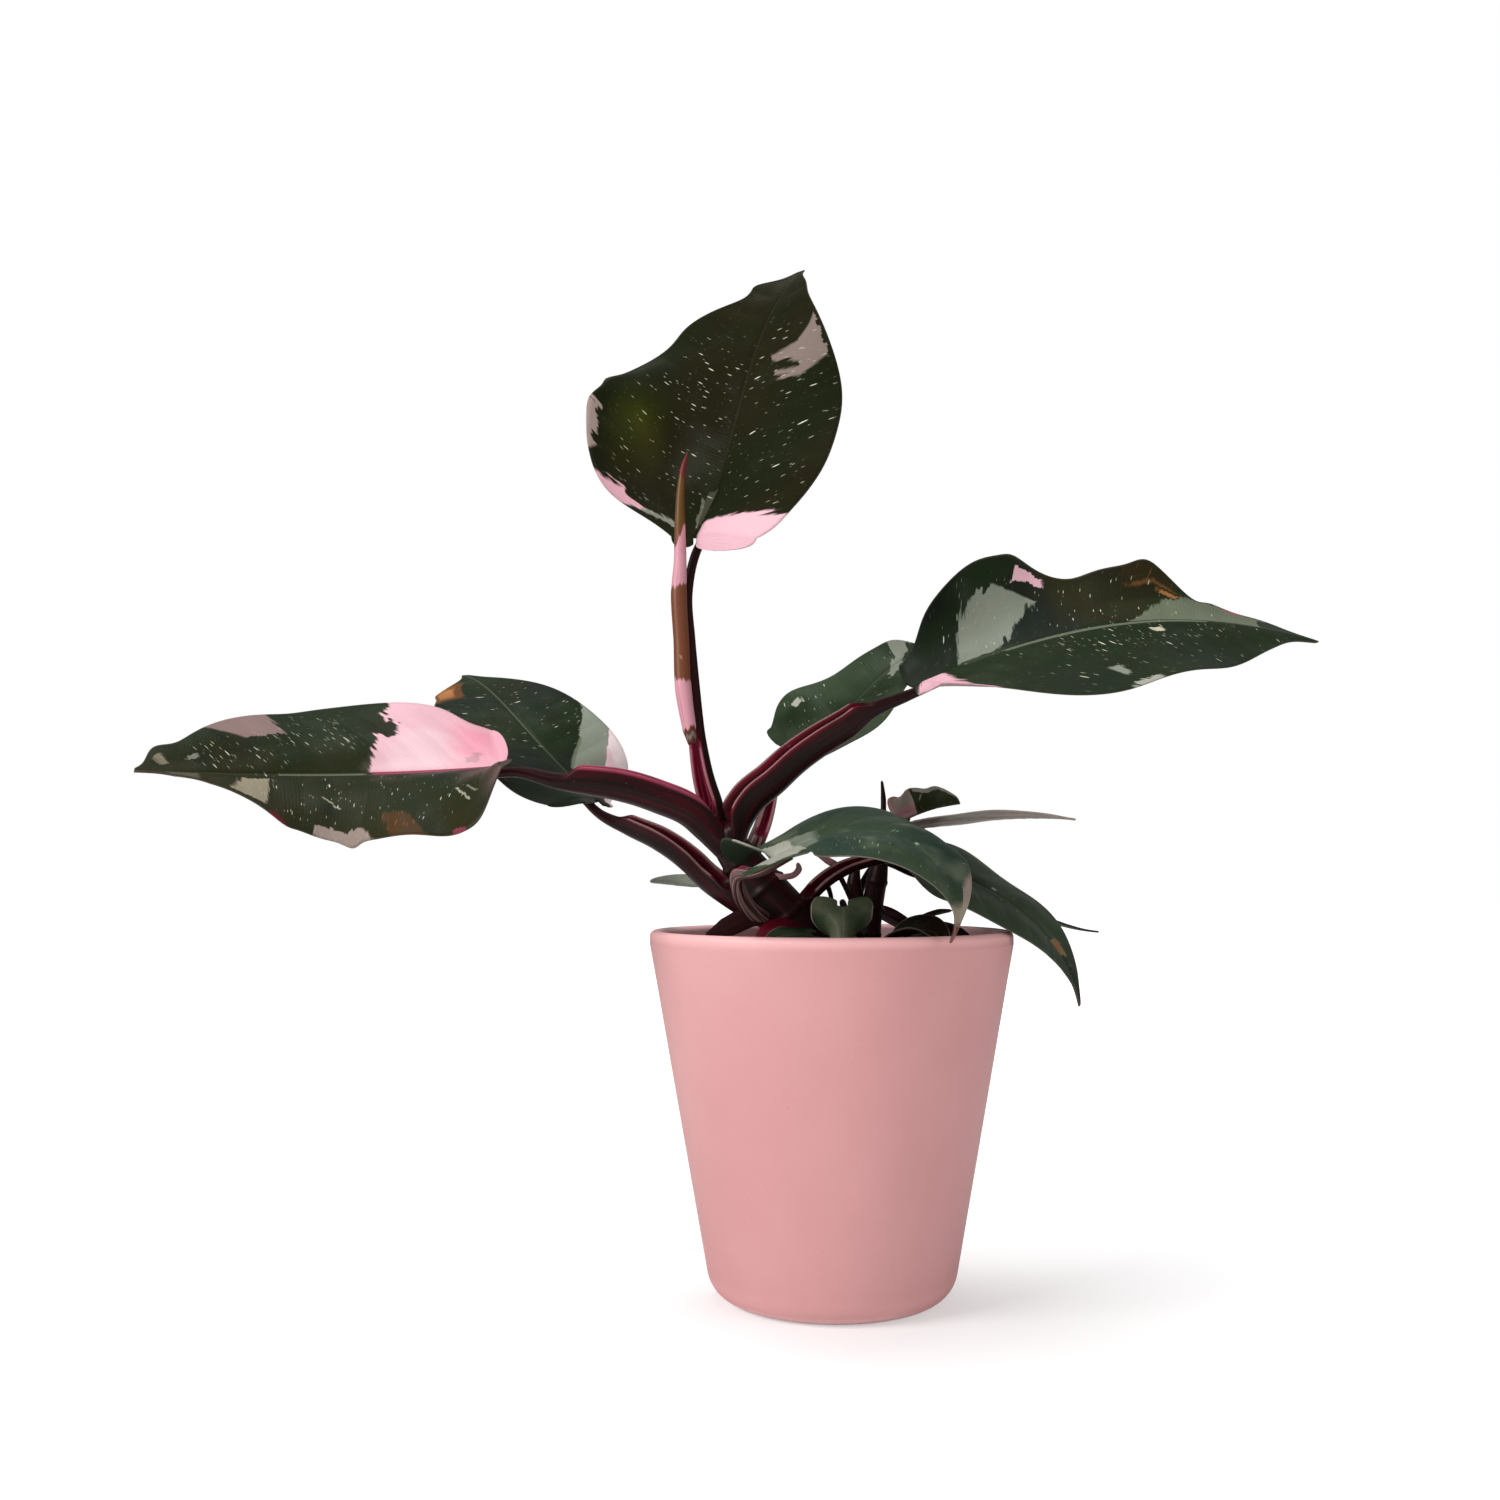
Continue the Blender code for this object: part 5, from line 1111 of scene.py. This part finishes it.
def stalk_surface(stalk, stations=96):
    """A section that turns from round into a channelled sheath and back, carried along a smooth curve."""
    end, along = stalk_end(ALL_LEAVES[stalk["blade"]])
    points = [*stalk["points"], end - RUN_UP * along, end + RUN_UP * along]
    radii = [*stalk["radii"], 0.8 * stalk["radii"][-1]]
    s = np.linspace(0, 1, stations)
    place = path_places(points)
    path = hermite(place, points, s)
    radius = np.interp(s, place, radii)[:, None]
    opening, open_by, closing, closed = stalk["sheath"]
    channel = (smooth_step(s, opening, open_by) * (1 - smooth_step(s, closing, closed)))[:, None]
    outer = np.radians(np.linspace(-OUTER_END, OUTER_END, 41))
    inner = np.linspace(1, -1, 17)
    rise = np.clip((np.abs(outer) - math.pi / 2) / (math.radians(OUTER_END) - math.pi / 2), 0, 1)
    sheath_x = radius * np.where(rise > 0, np.sign(outer) * (1 - WING_LEAN * rise), np.sin(outer))
    sheath_z = np.where(rise > 0, stalk["wings"] * rise, -radius * np.cos(outer))
    tip = (1 - WING_LEAN) * radius - WING_THICK
    inner_angle = np.radians(INNER_END) * inner
    floor = -CHANNEL_DEPTH * radius
    outer_x = radius * np.sin(outer)
    outer_z = -radius * np.cos(outer)
    top_x = radius * np.sin(inner_angle)
    top_z = radius * np.cos(inner_angle)
    x = np.concatenate([outer_x + channel * (sheath_x - outer_x), top_x + channel * (tip * inner - top_x)], 1)
    z = np.concatenate([outer_z + channel * (sheath_z - outer_z),
                        top_z + channel * (floor + (stalk["wings"] - floor) * inner ** 2 - top_z)], 1)
    side, up = frames(path, stalk["opens"])
    rings = path[:, None] + x[..., None] * side[:, None] + z[..., None] * up[:, None]
    points, quads, caps = lofted(rings)
    rim = np.concatenate([rise ** 2, np.abs(inner) ** 6])[None] * channel
    inside = np.concatenate([0 * outer, 1 + 0 * inner])[None] * channel
    section = np.broadcast_to(np.linspace(-1, 1, x.shape[1]), x.shape)
    along = np.broadcast_to(s[:, None], x.shape)
    notes = {"skin": np.stack([along, inside, section], -1).reshape(-1, 3),
             "rim": np.stack([rim, rim, rim], -1).reshape(-1, 3)}
    return points, quads, caps, {k: np.concatenate([v, v[:2] * 0]) for k, v in notes.items()}


# %% [markdown]
# ## The finish of stems and stalks
#
# The skin is a maroon that looks black where it is thick, with long fine streaks. The edges of a sheath and
# the inside of its channel are crimson, because light comes through them there.

# %% Stalk material
def stalk_material(name, skin, inside, rim, streak, lip, roughness=0.34):
    material, w, shader = new_material(name, roughness, 0.14)
    along, hollow, turn = w.parts(w.note("skin"))
    edge, _, _ = w.parts(w.note("rim"))
    lines = w.noise(w.vector(w.maths("MULTIPLY", turn, 9.0), w.maths("MULTIPLY", along, 1.4), 0.0), 1.0, 4.0)
    fine = w.noise(w.vector(w.maths("MULTIPLY", turn, 30.0), w.maths("MULTIPLY", along, 4.0), 2.0), 1.0, 3.0)
    cloud = w.noise(w.place(), 55.0, 2.0)
    colour = w.mix(w.step(lines, 0.42, 0.68), COLOURS[skin], COLOURS[streak])
    colour = w.mix(hollow, colour, w.mix(w.step(fine, 0.4, 0.7), COLOURS[inside], COLOURS[rim]))
    colour = w.mix(w.maths("MULTIPLY", w.step(edge, 0.6, 0.9), 0.75), colour, COLOURS[rim])
    colour = w.mix(w.maths("MULTIPLY", w.step(edge, 0.93, 0.999), 0.55), colour, COLOURS[lip])
    colour = w.mix(w.maths("MULTIPLY", w.step(cloud, 0.5, 0.75), 0.35), colour, COLOURS["black_maroon"])
    specks = w.step(w.noise(w.vector(w.maths("MULTIPLY", turn, 60.0), w.maths("MULTIPLY", along, 25.0), 5.0),
                            1.0, 2.0), 0.72, 0.78)
    colour = w.mix(w.maths("MULTIPLY", specks, 0.4), colour, COLOURS["grey_pink"])
    w.plug(shader.inputs["Base Color"], colour)
    bump = w.put("ShaderNodeBump")
    bump.inputs["Strength"].default_value = 0.3
    bump.inputs["Distance"].default_value = 0.0005
    w.plug(bump.inputs["Height"], lines)
    w.plug(shader.inputs["Normal"], bump.outputs["Normal"])
    return material


STALK_SKINS = {
    "dark": stalk_material("dark_stalk", "black_maroon", "wine", "crimson", "wine", "grey_pink"),
    "stem": stalk_material("stem_bark", "black_maroon", "wine", "crimson", "wine", "mauve", 0.42),
    "bright": stalk_material("bright_stalk", "black_maroon", "crimson", "crimson_pink", "wine", "mauve"),
    "striped": stalk_material("striped_stalk", "wine", "crimson", "crimson_pink", "grey_pink", "grey_pink"),
    "pink": stalk_material("pink_stalk", "mauve", "crimson", "roll_pink", "crimson_pink", "grey_pink"),
    "brown": stalk_material("brown_scale", "maroon", "maroon", "burnt", "black_maroon", "tan"),
    "crimson": stalk_material("crimson_scale", "crimson", "crimson", "crimson_pink", "wine", "crimson_pink"),
    "green": stalk_material("green_stalk", "grey_green", "grey_green", "grey_pink", "mid_green", "grey_pink"),
}
SKIN_OF = {"left": "bright", "top": "bright", "back_right": "striped", "front": "striped", "pale_left": "green",
           "young_narrow": "pink", "bract_pink": "pink", "hook": "pink", "scale_brown": "brown",
           "scale_crimson": "crimson"}

# %% Make stems, stalks and limbs
def add_limb(name, skin, surface, replaces=()):
    points, quads, caps, notes = surface
    make_piece(name, points, quads, STALK_SKINS[skin], replaces, caps, notes)


for name, stem in STEMS.items():
    add_limb(f"{name}_stem", "stem", limb_surface(**stem, stations=150, sides=48, ring=0.1), [f"stem_{name}"])
for name, stalk in {**MAIN_STALKS, **SECOND_STALKS}.items():
    skin = SKIN_OF.get(name, "dark")
    if stalk.get("wings"):
        add_limb(f"stalk_{name}", skin, stalk_surface(stalk))
    else:
        end, along = stalk_end(ALL_LEAVES[f"leaf_{name}"])
        reach = [*stalk["points"], end - 0.6 * RUN_UP * along, end + 0.6 * RUN_UP * along]
        add_limb(f"stalk_{name}", skin, limb_surface(reach, [*stalk["radii"], 0.6]))
for name, limb in LIMBS.items():
    add_limb(f"limb_{name}", SKIN_OF.get(name, "dark"), limb_surface(**limb))
print("stems, stalks and limbs made")

# %% [markdown]
# ## The rolled young leaf
#
# A new leaf comes up rolled like a paper scroll, in front of the top stalk. Its surface is one sheet wound on
# a spiral: round the middle line the radius shrinks a little with each turn, so the free edge stands out as a
# thin seam. It is coloured by height and by the angle round the roll, with the same patches as the blades.

# %% Rolled leaf
ROLL_POINTS = [(-54, -2, 211.5), (-55, -2, 217), (-57.5, -1.5, 232.5), (-58.5, -0.5, 252.5),
               (-59.5, 0, 271), (-59, 0.5, 284), (-59, -0.5, 300), (-58.5, -1, 314),
               (-57.5, -1.5, 322), (-56, -1.5, 327)]
ROLL_RADII = (1.6, 2.9, 3.5, 3.3, 3.4, 2.7, 2.3, 1.7, 1.1, 0.4)
ROLL_TURNS = 2.2
ROLL_SHRINK = 0.55
ROLL_THICK = 0.3
ROLL_PATCHES = [
    patch("roll_olive", (-2, 2), (0.70, 0.93), (0.78, 0.93), soft=0.02),
    patch("crimson", (-2, 2), (0.91, 1.1), (0.91, 1.1), soft=0.02, cover=0.7),
    patch("roll_pink", (-0.5, 0.6), (0.53, 0.66), (0.56, 0.80)),
    patch("roll_pink", (-2, -0.45), (0.53, 0.66), (0.53, 0.66)),
    patch("tan", (-0.15, -0.05), (0.285, 0.295), (0.285, 0.295), soft=0.003),
    patch("roll_pink", (-2, 2), (0.055, 0.24), (0.055, 0.19)),
    patch("maroon", (-2, 2), (-0.1, 0.05), (-0.1, 0.05), cover=0.6),
    patch("grey_pink", (-2, 2), (0.015, 0.03), (0.02, 0.04), cover=0.5),
    patch("crimson", (-2, 2), (-0.1, 0.0), (-0.1, 0.0)),
    patch("grey_pink", (0.42, 0.5), (-0.1, 0.9), (-0.1, 0.9), cover=0.5),
]


def rolled_surface(rows=150, columns=110):
    """Rows climb the middle line. Columns run from the free edge inwards, round the spiral."""
    h = np.linspace(0, 1, rows)
    v = np.linspace(0, 1, columns)
    place = path_places(ROLL_POINTS)
    path = hermite(place, ROLL_POINTS, h)
    radius = np.interp(h, place, ROLL_RADII)
    side, up = frames(path, (0.3, -1, 0.2))
    edge = math.pi * (0.36 + 0.1 * np.sin(5 * h))
    angle = edge[:, None] - 2 * math.pi * ROLL_TURNS * v[None]
    spiral = radius[:, None] * (1 - ROLL_SHRINK * v[None])
    points = path[:, None] + spiral[..., None] * (
        np.sin(angle)[..., None] * side[:, None] + np.cos(angle)[..., None] * up[:, None])
    quads = grid_quads(np.arange(rows * columns).reshape(rows, columns))
    points = points.reshape(-1, 3)
    normals = point_normals(points, quads)
    if (normals * (points - np.repeat(path, columns, axis=0))).sum() < 0:
        quads, normals = quads[:, ::-1], -normals
    closed, faces = close_sheet(points, quads, np.full(len(points), ROLL_THICK), normals)
    notes = np.stack([np.broadcast_to(h[:, None], angle.shape), angle / math.pi, 0 * angle], -1).reshape(-1, 3)
    return closed, faces, {"place": np.concatenate([notes, notes])}


def rolled_material():
    material, w, shader = new_material("rolled_leaf_skin", 0.38, 0.25)
    along, across, _ = w.parts(w.note("place"))
    ripple = w.noise(w.vector(w.maths("MULTIPLY", across, 6.0), w.maths("MULTIPLY", along, 5.0), 0.0), 1.0, 3.0)
    high = w.maths("MULTIPLY_ADD", w.maths("SUBTRACT", ripple, 0.5), 0.07, along)
    colour = COLOURS["roll_brown"]
    for spot in ROLL_PATCHES:
        (start, end), (low, top), (low_end, top_end) = spot["across"], spot["start"], spot["end"]
        mask = w.group(PATCH, Along=high, Across=across, From=start, To=end, Low_From=low, High_From=top,
                       Low_To=low_end, High_To=top_end, Soft=spot["soft"])["Mask"]
        colour = w.mix(w.maths("MULTIPLY", mask, spot["cover"]), colour, COLOURS[spot["tone"]])
    streaks = w.noise(w.vector(w.maths("MULTIPLY", across, 14.0), w.maths("MULTIPLY", along, 3.0), 3.0), 1.0, 3.0)
    colour = w.mix(w.maths("MULTIPLY", w.step(streaks, 0.55, 0.75), 0.3), colour, COLOURS["maroon"])
    w.plug(shader.inputs["Base Color"], colour)
    return material


points, quads, notes = rolled_surface()
make_piece("young_roll", points, quads, rolled_material(), ["leaf_rolled"], notes=notes)

# %% [markdown]
# ## The pot
#
# The pot is a turned cup: a straight taper with a short upright band at the rim and a rounded foot. Its
# profile is a line of corners, each rounded by an arc, and the profile turned about the upright axis is the
# surface. The glaze is matte and slightly speckled. Its colour also holds painted light: it is painted
# lighter on the rim band as a painted highlight from above, at the foot for light bounced up from the paper,
# and on the inside wall for light falling there.

# %% Pot
POT_RIM_RADIUS = 70.0
POT_FOOT_RADIUS = 45.7
POT_HEIGHT = 139.5
POT_WALL = 4.5
POT_FLOOR = 6.0
POT_BAND = 5.0
POT_FOOT_ROUND = 13.0
POT_INNER_ROUND = 6.0
POT_BAND_ROUND = 3.0
POT_LIP_ROUND = 2.2
SPOKES = 144


def inner_radius(z):
    """The pot's inner radius at a height."""
    share = z / (POT_HEIGHT - POT_BAND)
    return POT_FOOT_RADIUS + (POT_RIM_RADIUS - POT_FOOT_RADIUS) * share - POT_WALL


def rounded_profile(corners, steps=10):
    """Corners (radius, height, rounding) as a line whose corners are arcs that touch both sides."""
    line = []
    for i, (r, z, rounding) in enumerate(corners):
        here = np.array([r, z])
        if not rounding:
            line.append(here)
            continue
        before = unit(np.array(corners[i - 1][:2]) - here)
        after = unit(np.array(corners[i + 1][:2]) - here)
        half = math.acos(float(before @ after)) / 2
        centre = here + unit(before + after) * rounding / math.sin(half)
        start, end = (here + d * rounding / math.tan(half) - centre for d in (before, after))
        sweep = math.pi - 2 * half
        for t in np.linspace(0, 1, steps + 1):
            line.append(centre + (math.sin((1 - t) * sweep) * start + math.sin(t * sweep) * end)
                        / math.sin(sweep))
    return np.array(line)


def filled_in(profile, step):
    """The same line with more points, none further apart than a step."""
    out = [profile[:1]]
    for a, b in zip(profile[:-1], profile[1:]):
        parts = max(int(np.linalg.norm(b - a) / step), 1)
        out.append(a + (b - a) * np.linspace(0, 1, parts + 1)[1:, None])
    return np.concatenate(out)


def turned(profile, spokes=SPOKES):
    """A profile from axis to axis, turned about Z: one point at each pole and rings between them."""
    angle = np.linspace(0, 2 * math.pi, spokes, endpoint=False)
    r, z = profile[1:-1, 0, None], profile[1:-1, 1, None]
    rings = np.stack([r * np.cos(angle), r * np.sin(angle), z + 0 * angle], -1)
    count = len(rings)
    points = np.concatenate([rings.reshape(-1, 3), [(0, 0, profile[0, 1]), (0, 0, profile[-1, 1])]])
    first = np.arange(spokes)
    last = first + (count - 1) * spokes
    hub = count * spokes
    caps = [np.stack([np.full(spokes, hub), np.roll(first, -1), first], 1),
            np.stack([np.full(spokes, hub + 1), last, np.roll(last, -1)], 1)]
    return points, ring_quads(count, spokes), np.concatenate(caps)


def pot_material():
    material, w, shader = new_material("matte_pink_glaze", 0.5, 0.45)
    place = w.place()
    cloud = w.noise(place, 14.0, 3.0)
    grain = w.noise(place, 900.0, 2.0)
    colour = w.mix(w.step(cloud, 0.3, 0.7), chart(208, 148, 148), chart(214, 156, 156))
    x, y, z = w.parts(place)
    # Painted highlight: the band at the rim is painted lighter, standing in for light from above.
    rim = w.step(z, MM * (POT_HEIGHT - POT_BAND), MM * (POT_HEIGHT - 1.5))
    colour = w.mix(w.maths("MULTIPLY", rim, 0.6), colour, chart(242, 186, 186))
    # Painted light: the foot is painted lighter, standing in for light bounced up from the paper.
    painted_light_foot = w.maths("SUBTRACT", 1.0, w.step(z, 0.0, MM * POT_FOOT_ROUND))
    colour = w.mix(w.maths("MULTIPLY", painted_light_foot, 0.7), colour, chart(246, 184, 184))
    # Painted light: the inside wall is painted lighter, standing in for light falling on it where the plant shades
    # it.
    from_axis = w.maths("POWER", w.maths("ADD", w.maths("MULTIPLY", x, x), w.maths("MULTIPLY", y, y)), 0.5)
    wall = w.maths("SUBTRACT", from_axis, w.maths("MULTIPLY", z, (POT_RIM_RADIUS - POT_FOOT_RADIUS) / POT_HEIGHT))
    inside = w.maths("SUBTRACT", 1.0, w.step(wall, MM * (POT_FOOT_RADIUS - 3.5), MM * (POT_FOOT_RADIUS - 2.0)))
    colour = w.mix(inside, colour, chart(250, 200, 200))
    colour = w.mix(w.maths("MULTIPLY", w.step(grain, 0.6, 0.8), 0.12), colour, chart(150, 96, 96))
    w.plug(shader.inputs["Base Color"], colour)
    bump = w.put("ShaderNodeBump")
    bump.inputs["Strength"].default_value = 0.12
    bump.inputs["Distance"].default_value = 0.0002
    w.plug(bump.inputs["Height"], grain)
    w.plug(shader.inputs["Normal"], bump.outputs["Normal"])
    return material


POT_CORNERS = [
    (0.0, POT_FLOOR, 0), (inner_radius(POT_FLOOR), POT_FLOOR, POT_INNER_ROUND),
    (inner_radius(POT_HEIGHT - POT_BAND), POT_HEIGHT - POT_BAND, POT_BAND_ROUND),
    (POT_RIM_RADIUS - POT_WALL, POT_HEIGHT, POT_LIP_ROUND), (POT_RIM_RADIUS, POT_HEIGHT, POT_LIP_ROUND),
    (POT_RIM_RADIUS, POT_HEIGHT - POT_BAND, POT_BAND_ROUND),
    (POT_FOOT_RADIUS, 0.0, POT_FOOT_ROUND), (0.0, 0.0, 0)]
points, quads, caps = turned(filled_in(rounded_profile(POT_CORNERS), 4.0))
make_piece("cover_pot", points, quads, pot_material(), ["pot"], caps)

# %% [markdown]
# ## The soil
#
# The pot is filled with dark potting mix. Its top is a disc with low swells and many small crumbs, made as a
# sum of round bumps at drawn places. Chips of bark and white grains lie on it. They are small lumps, so each
# is a ball of a few faces that is squashed and turned by its own draw.

# %% Soil
SOIL_LEVEL = 121.0
SOIL_CROWN = 2.0
SOIL_EDGE_DROP = 1.0
CRUMBS = 420
CRUMB_HEIGHT = 0.9
GAP = 0.3
draws = np.random.default_rng(12)


def soil_height(x, y):
    """The level at a place: the crown, two crossing waves, and the crumbs."""
    edge = inner_radius(SOIL_LEVEL) - GAP
    r = np.hypot(x, y)
    crown = SOIL_CROWN * np.cos(np.clip(r / edge, 0, 1) * math.pi / 2)
    waves = 0.9 * np.sin(0.31 * x + 0.17 * y) * np.cos(-0.11 * x + 0.23 * y)
    spread = edge * np.sqrt(CRUMB_DRAWS[:, 0])
    cx, cy = spread * np.cos(CRUMB_DRAWS[:, 1]), spread * np.sin(CRUMB_DRAWS[:, 1])
    near = (x[..., None] - cx) ** 2 + (y[..., None] - cy) ** 2
    crumbs = (CRUMB_HEIGHT * CRUMB_DRAWS[:, 2] * np.exp(-near / (2.6 * CRUMB_DRAWS[:, 2]) ** 2)).sum(-1)
    return SOIL_LEVEL + crown + waves + crumbs * (r < edge - 1)


CRUMB_DRAWS = np.stack([draws.uniform(0, 1, CRUMBS), draws.uniform(0, 2 * math.pi, CRUMBS),
                        draws.uniform(0.4, 1.0, CRUMBS)], 1)


def make_soil():
    edge = inner_radius(SOIL_LEVEL) - GAP
    low = POT_FLOOR + GAP
    top = [(r, SOIL_LEVEL) for r in np.linspace(0, edge - 0.5, 64)]
    wall = rounded_profile([(edge - 0.5, SOIL_LEVEL, 0), (edge, SOIL_LEVEL - SOIL_EDGE_DROP, 0),
                            (inner_radius(low) - GAP, low, POT_INNER_ROUND + 1.0), (0.0, low, 0)])
    profile = np.concatenate([top, wall[1:]])
    points, quads, caps = turned(profile)
    on_top = points[:, 2] > SOIL_LEVEL - 0.5
    points[on_top, 2] = soil_height(points[on_top, 0], points[on_top, 1])
    material, w, shader = new_material("potting_mix", 0.95, 0.2)
    place = w.place()
    colour = w.mix(w.step(w.noise(place, 420.0, 4.0), 0.35, 0.7), chart(34, 24, 18), chart(78, 58, 42))
    w.plug(shader.inputs["Base Color"], colour)
    bump = w.put("ShaderNodeBump")
    bump.inputs["Strength"].default_value = 0.8
    bump.inputs["Distance"].default_value = 0.001
    w.plug(bump.inputs["Height"], w.noise(place, 700.0, 5.0))
    w.plug(shader.inputs["Normal"], bump.outputs["Normal"])
    return make_piece("potting_mix", points, quads, material, ["soil"], caps)


make_soil()

# %% [markdown]
# ## Bark chips and white grains

# %% Chips and grains
def ball(rings=4, around=8):
    """A unit ball with few faces, as points, quads and caps."""
    lat = np.linspace(-math.pi / 2, math.pi / 2, rings + 2)
    profile = np.stack([np.cos(lat), np.sin(lat)], 1)
    profile[0, 0] = profile[-1, 0] = 0
    return turned(profile, around)


def scatter(name, count, size, flatness, tones, roughness):
    """Copies of the ball, each stretched, dented and turned by its own draws, on the soil."""
    points, quads, caps = ball()
    many, all_quads, all_caps = [], [], []
    for i in range(count):
        r = 60 * math.sqrt(draws.uniform(0.02, 0.98))
        turn = draws.uniform(0, 2 * math.pi)
        x, y = r * math.cos(turn), r * math.sin(turn)
        scale = size * draws.uniform(0.6, 1.3) * np.array([draws.uniform(1, 1.6), 1.0, flatness])
        lump = points * scale * draws.uniform(0.8, 1.15, (len(points), 1))
        spin = draws.uniform(0, math.pi)
        lump = np.stack([lump[:, 0] * math.cos(spin) - lump[:, 1] * math.sin(spin),
                         lump[:, 0] * math.sin(spin) + lump[:, 1] * math.cos(spin),
                         lump[:, 2] + lump[:, 0] * draws.uniform(-0.3, 0.3)], 1)
        z = float(soil_height(np.array([x]), np.array([y]))[0])
        many.append(lump + (x, y, z + 0.3 * scale[2]))
        all_quads.append(quads + i * len(points))
        all_caps.append(caps + i * len(points))
    material, w, shader = new_material(name, roughness, 0.3)
    shade = w.noise(w.place(), 260.0, 3.0)
    w.plug(shader.inputs["Base Color"], w.mix(w.step(shade, 0.35, 0.65), *tones))
    make_piece(name, np.concatenate(many), np.concatenate(all_quads), material,
               triangles=np.concatenate(all_caps))


scatter("bark_chips", 110, 2.1, 0.45, (chart(46, 30, 20), chart(96, 66, 44)), 0.85)
scatter("white_grains", 60, 1.1, 0.85, (chart(206, 202, 192), chart(228, 226, 220)), 0.8)

# %% [markdown]
# ## Finish
#
# The fine surfaces must stay in the same box.

# %% The last line
bpy.context.view_layer.update()
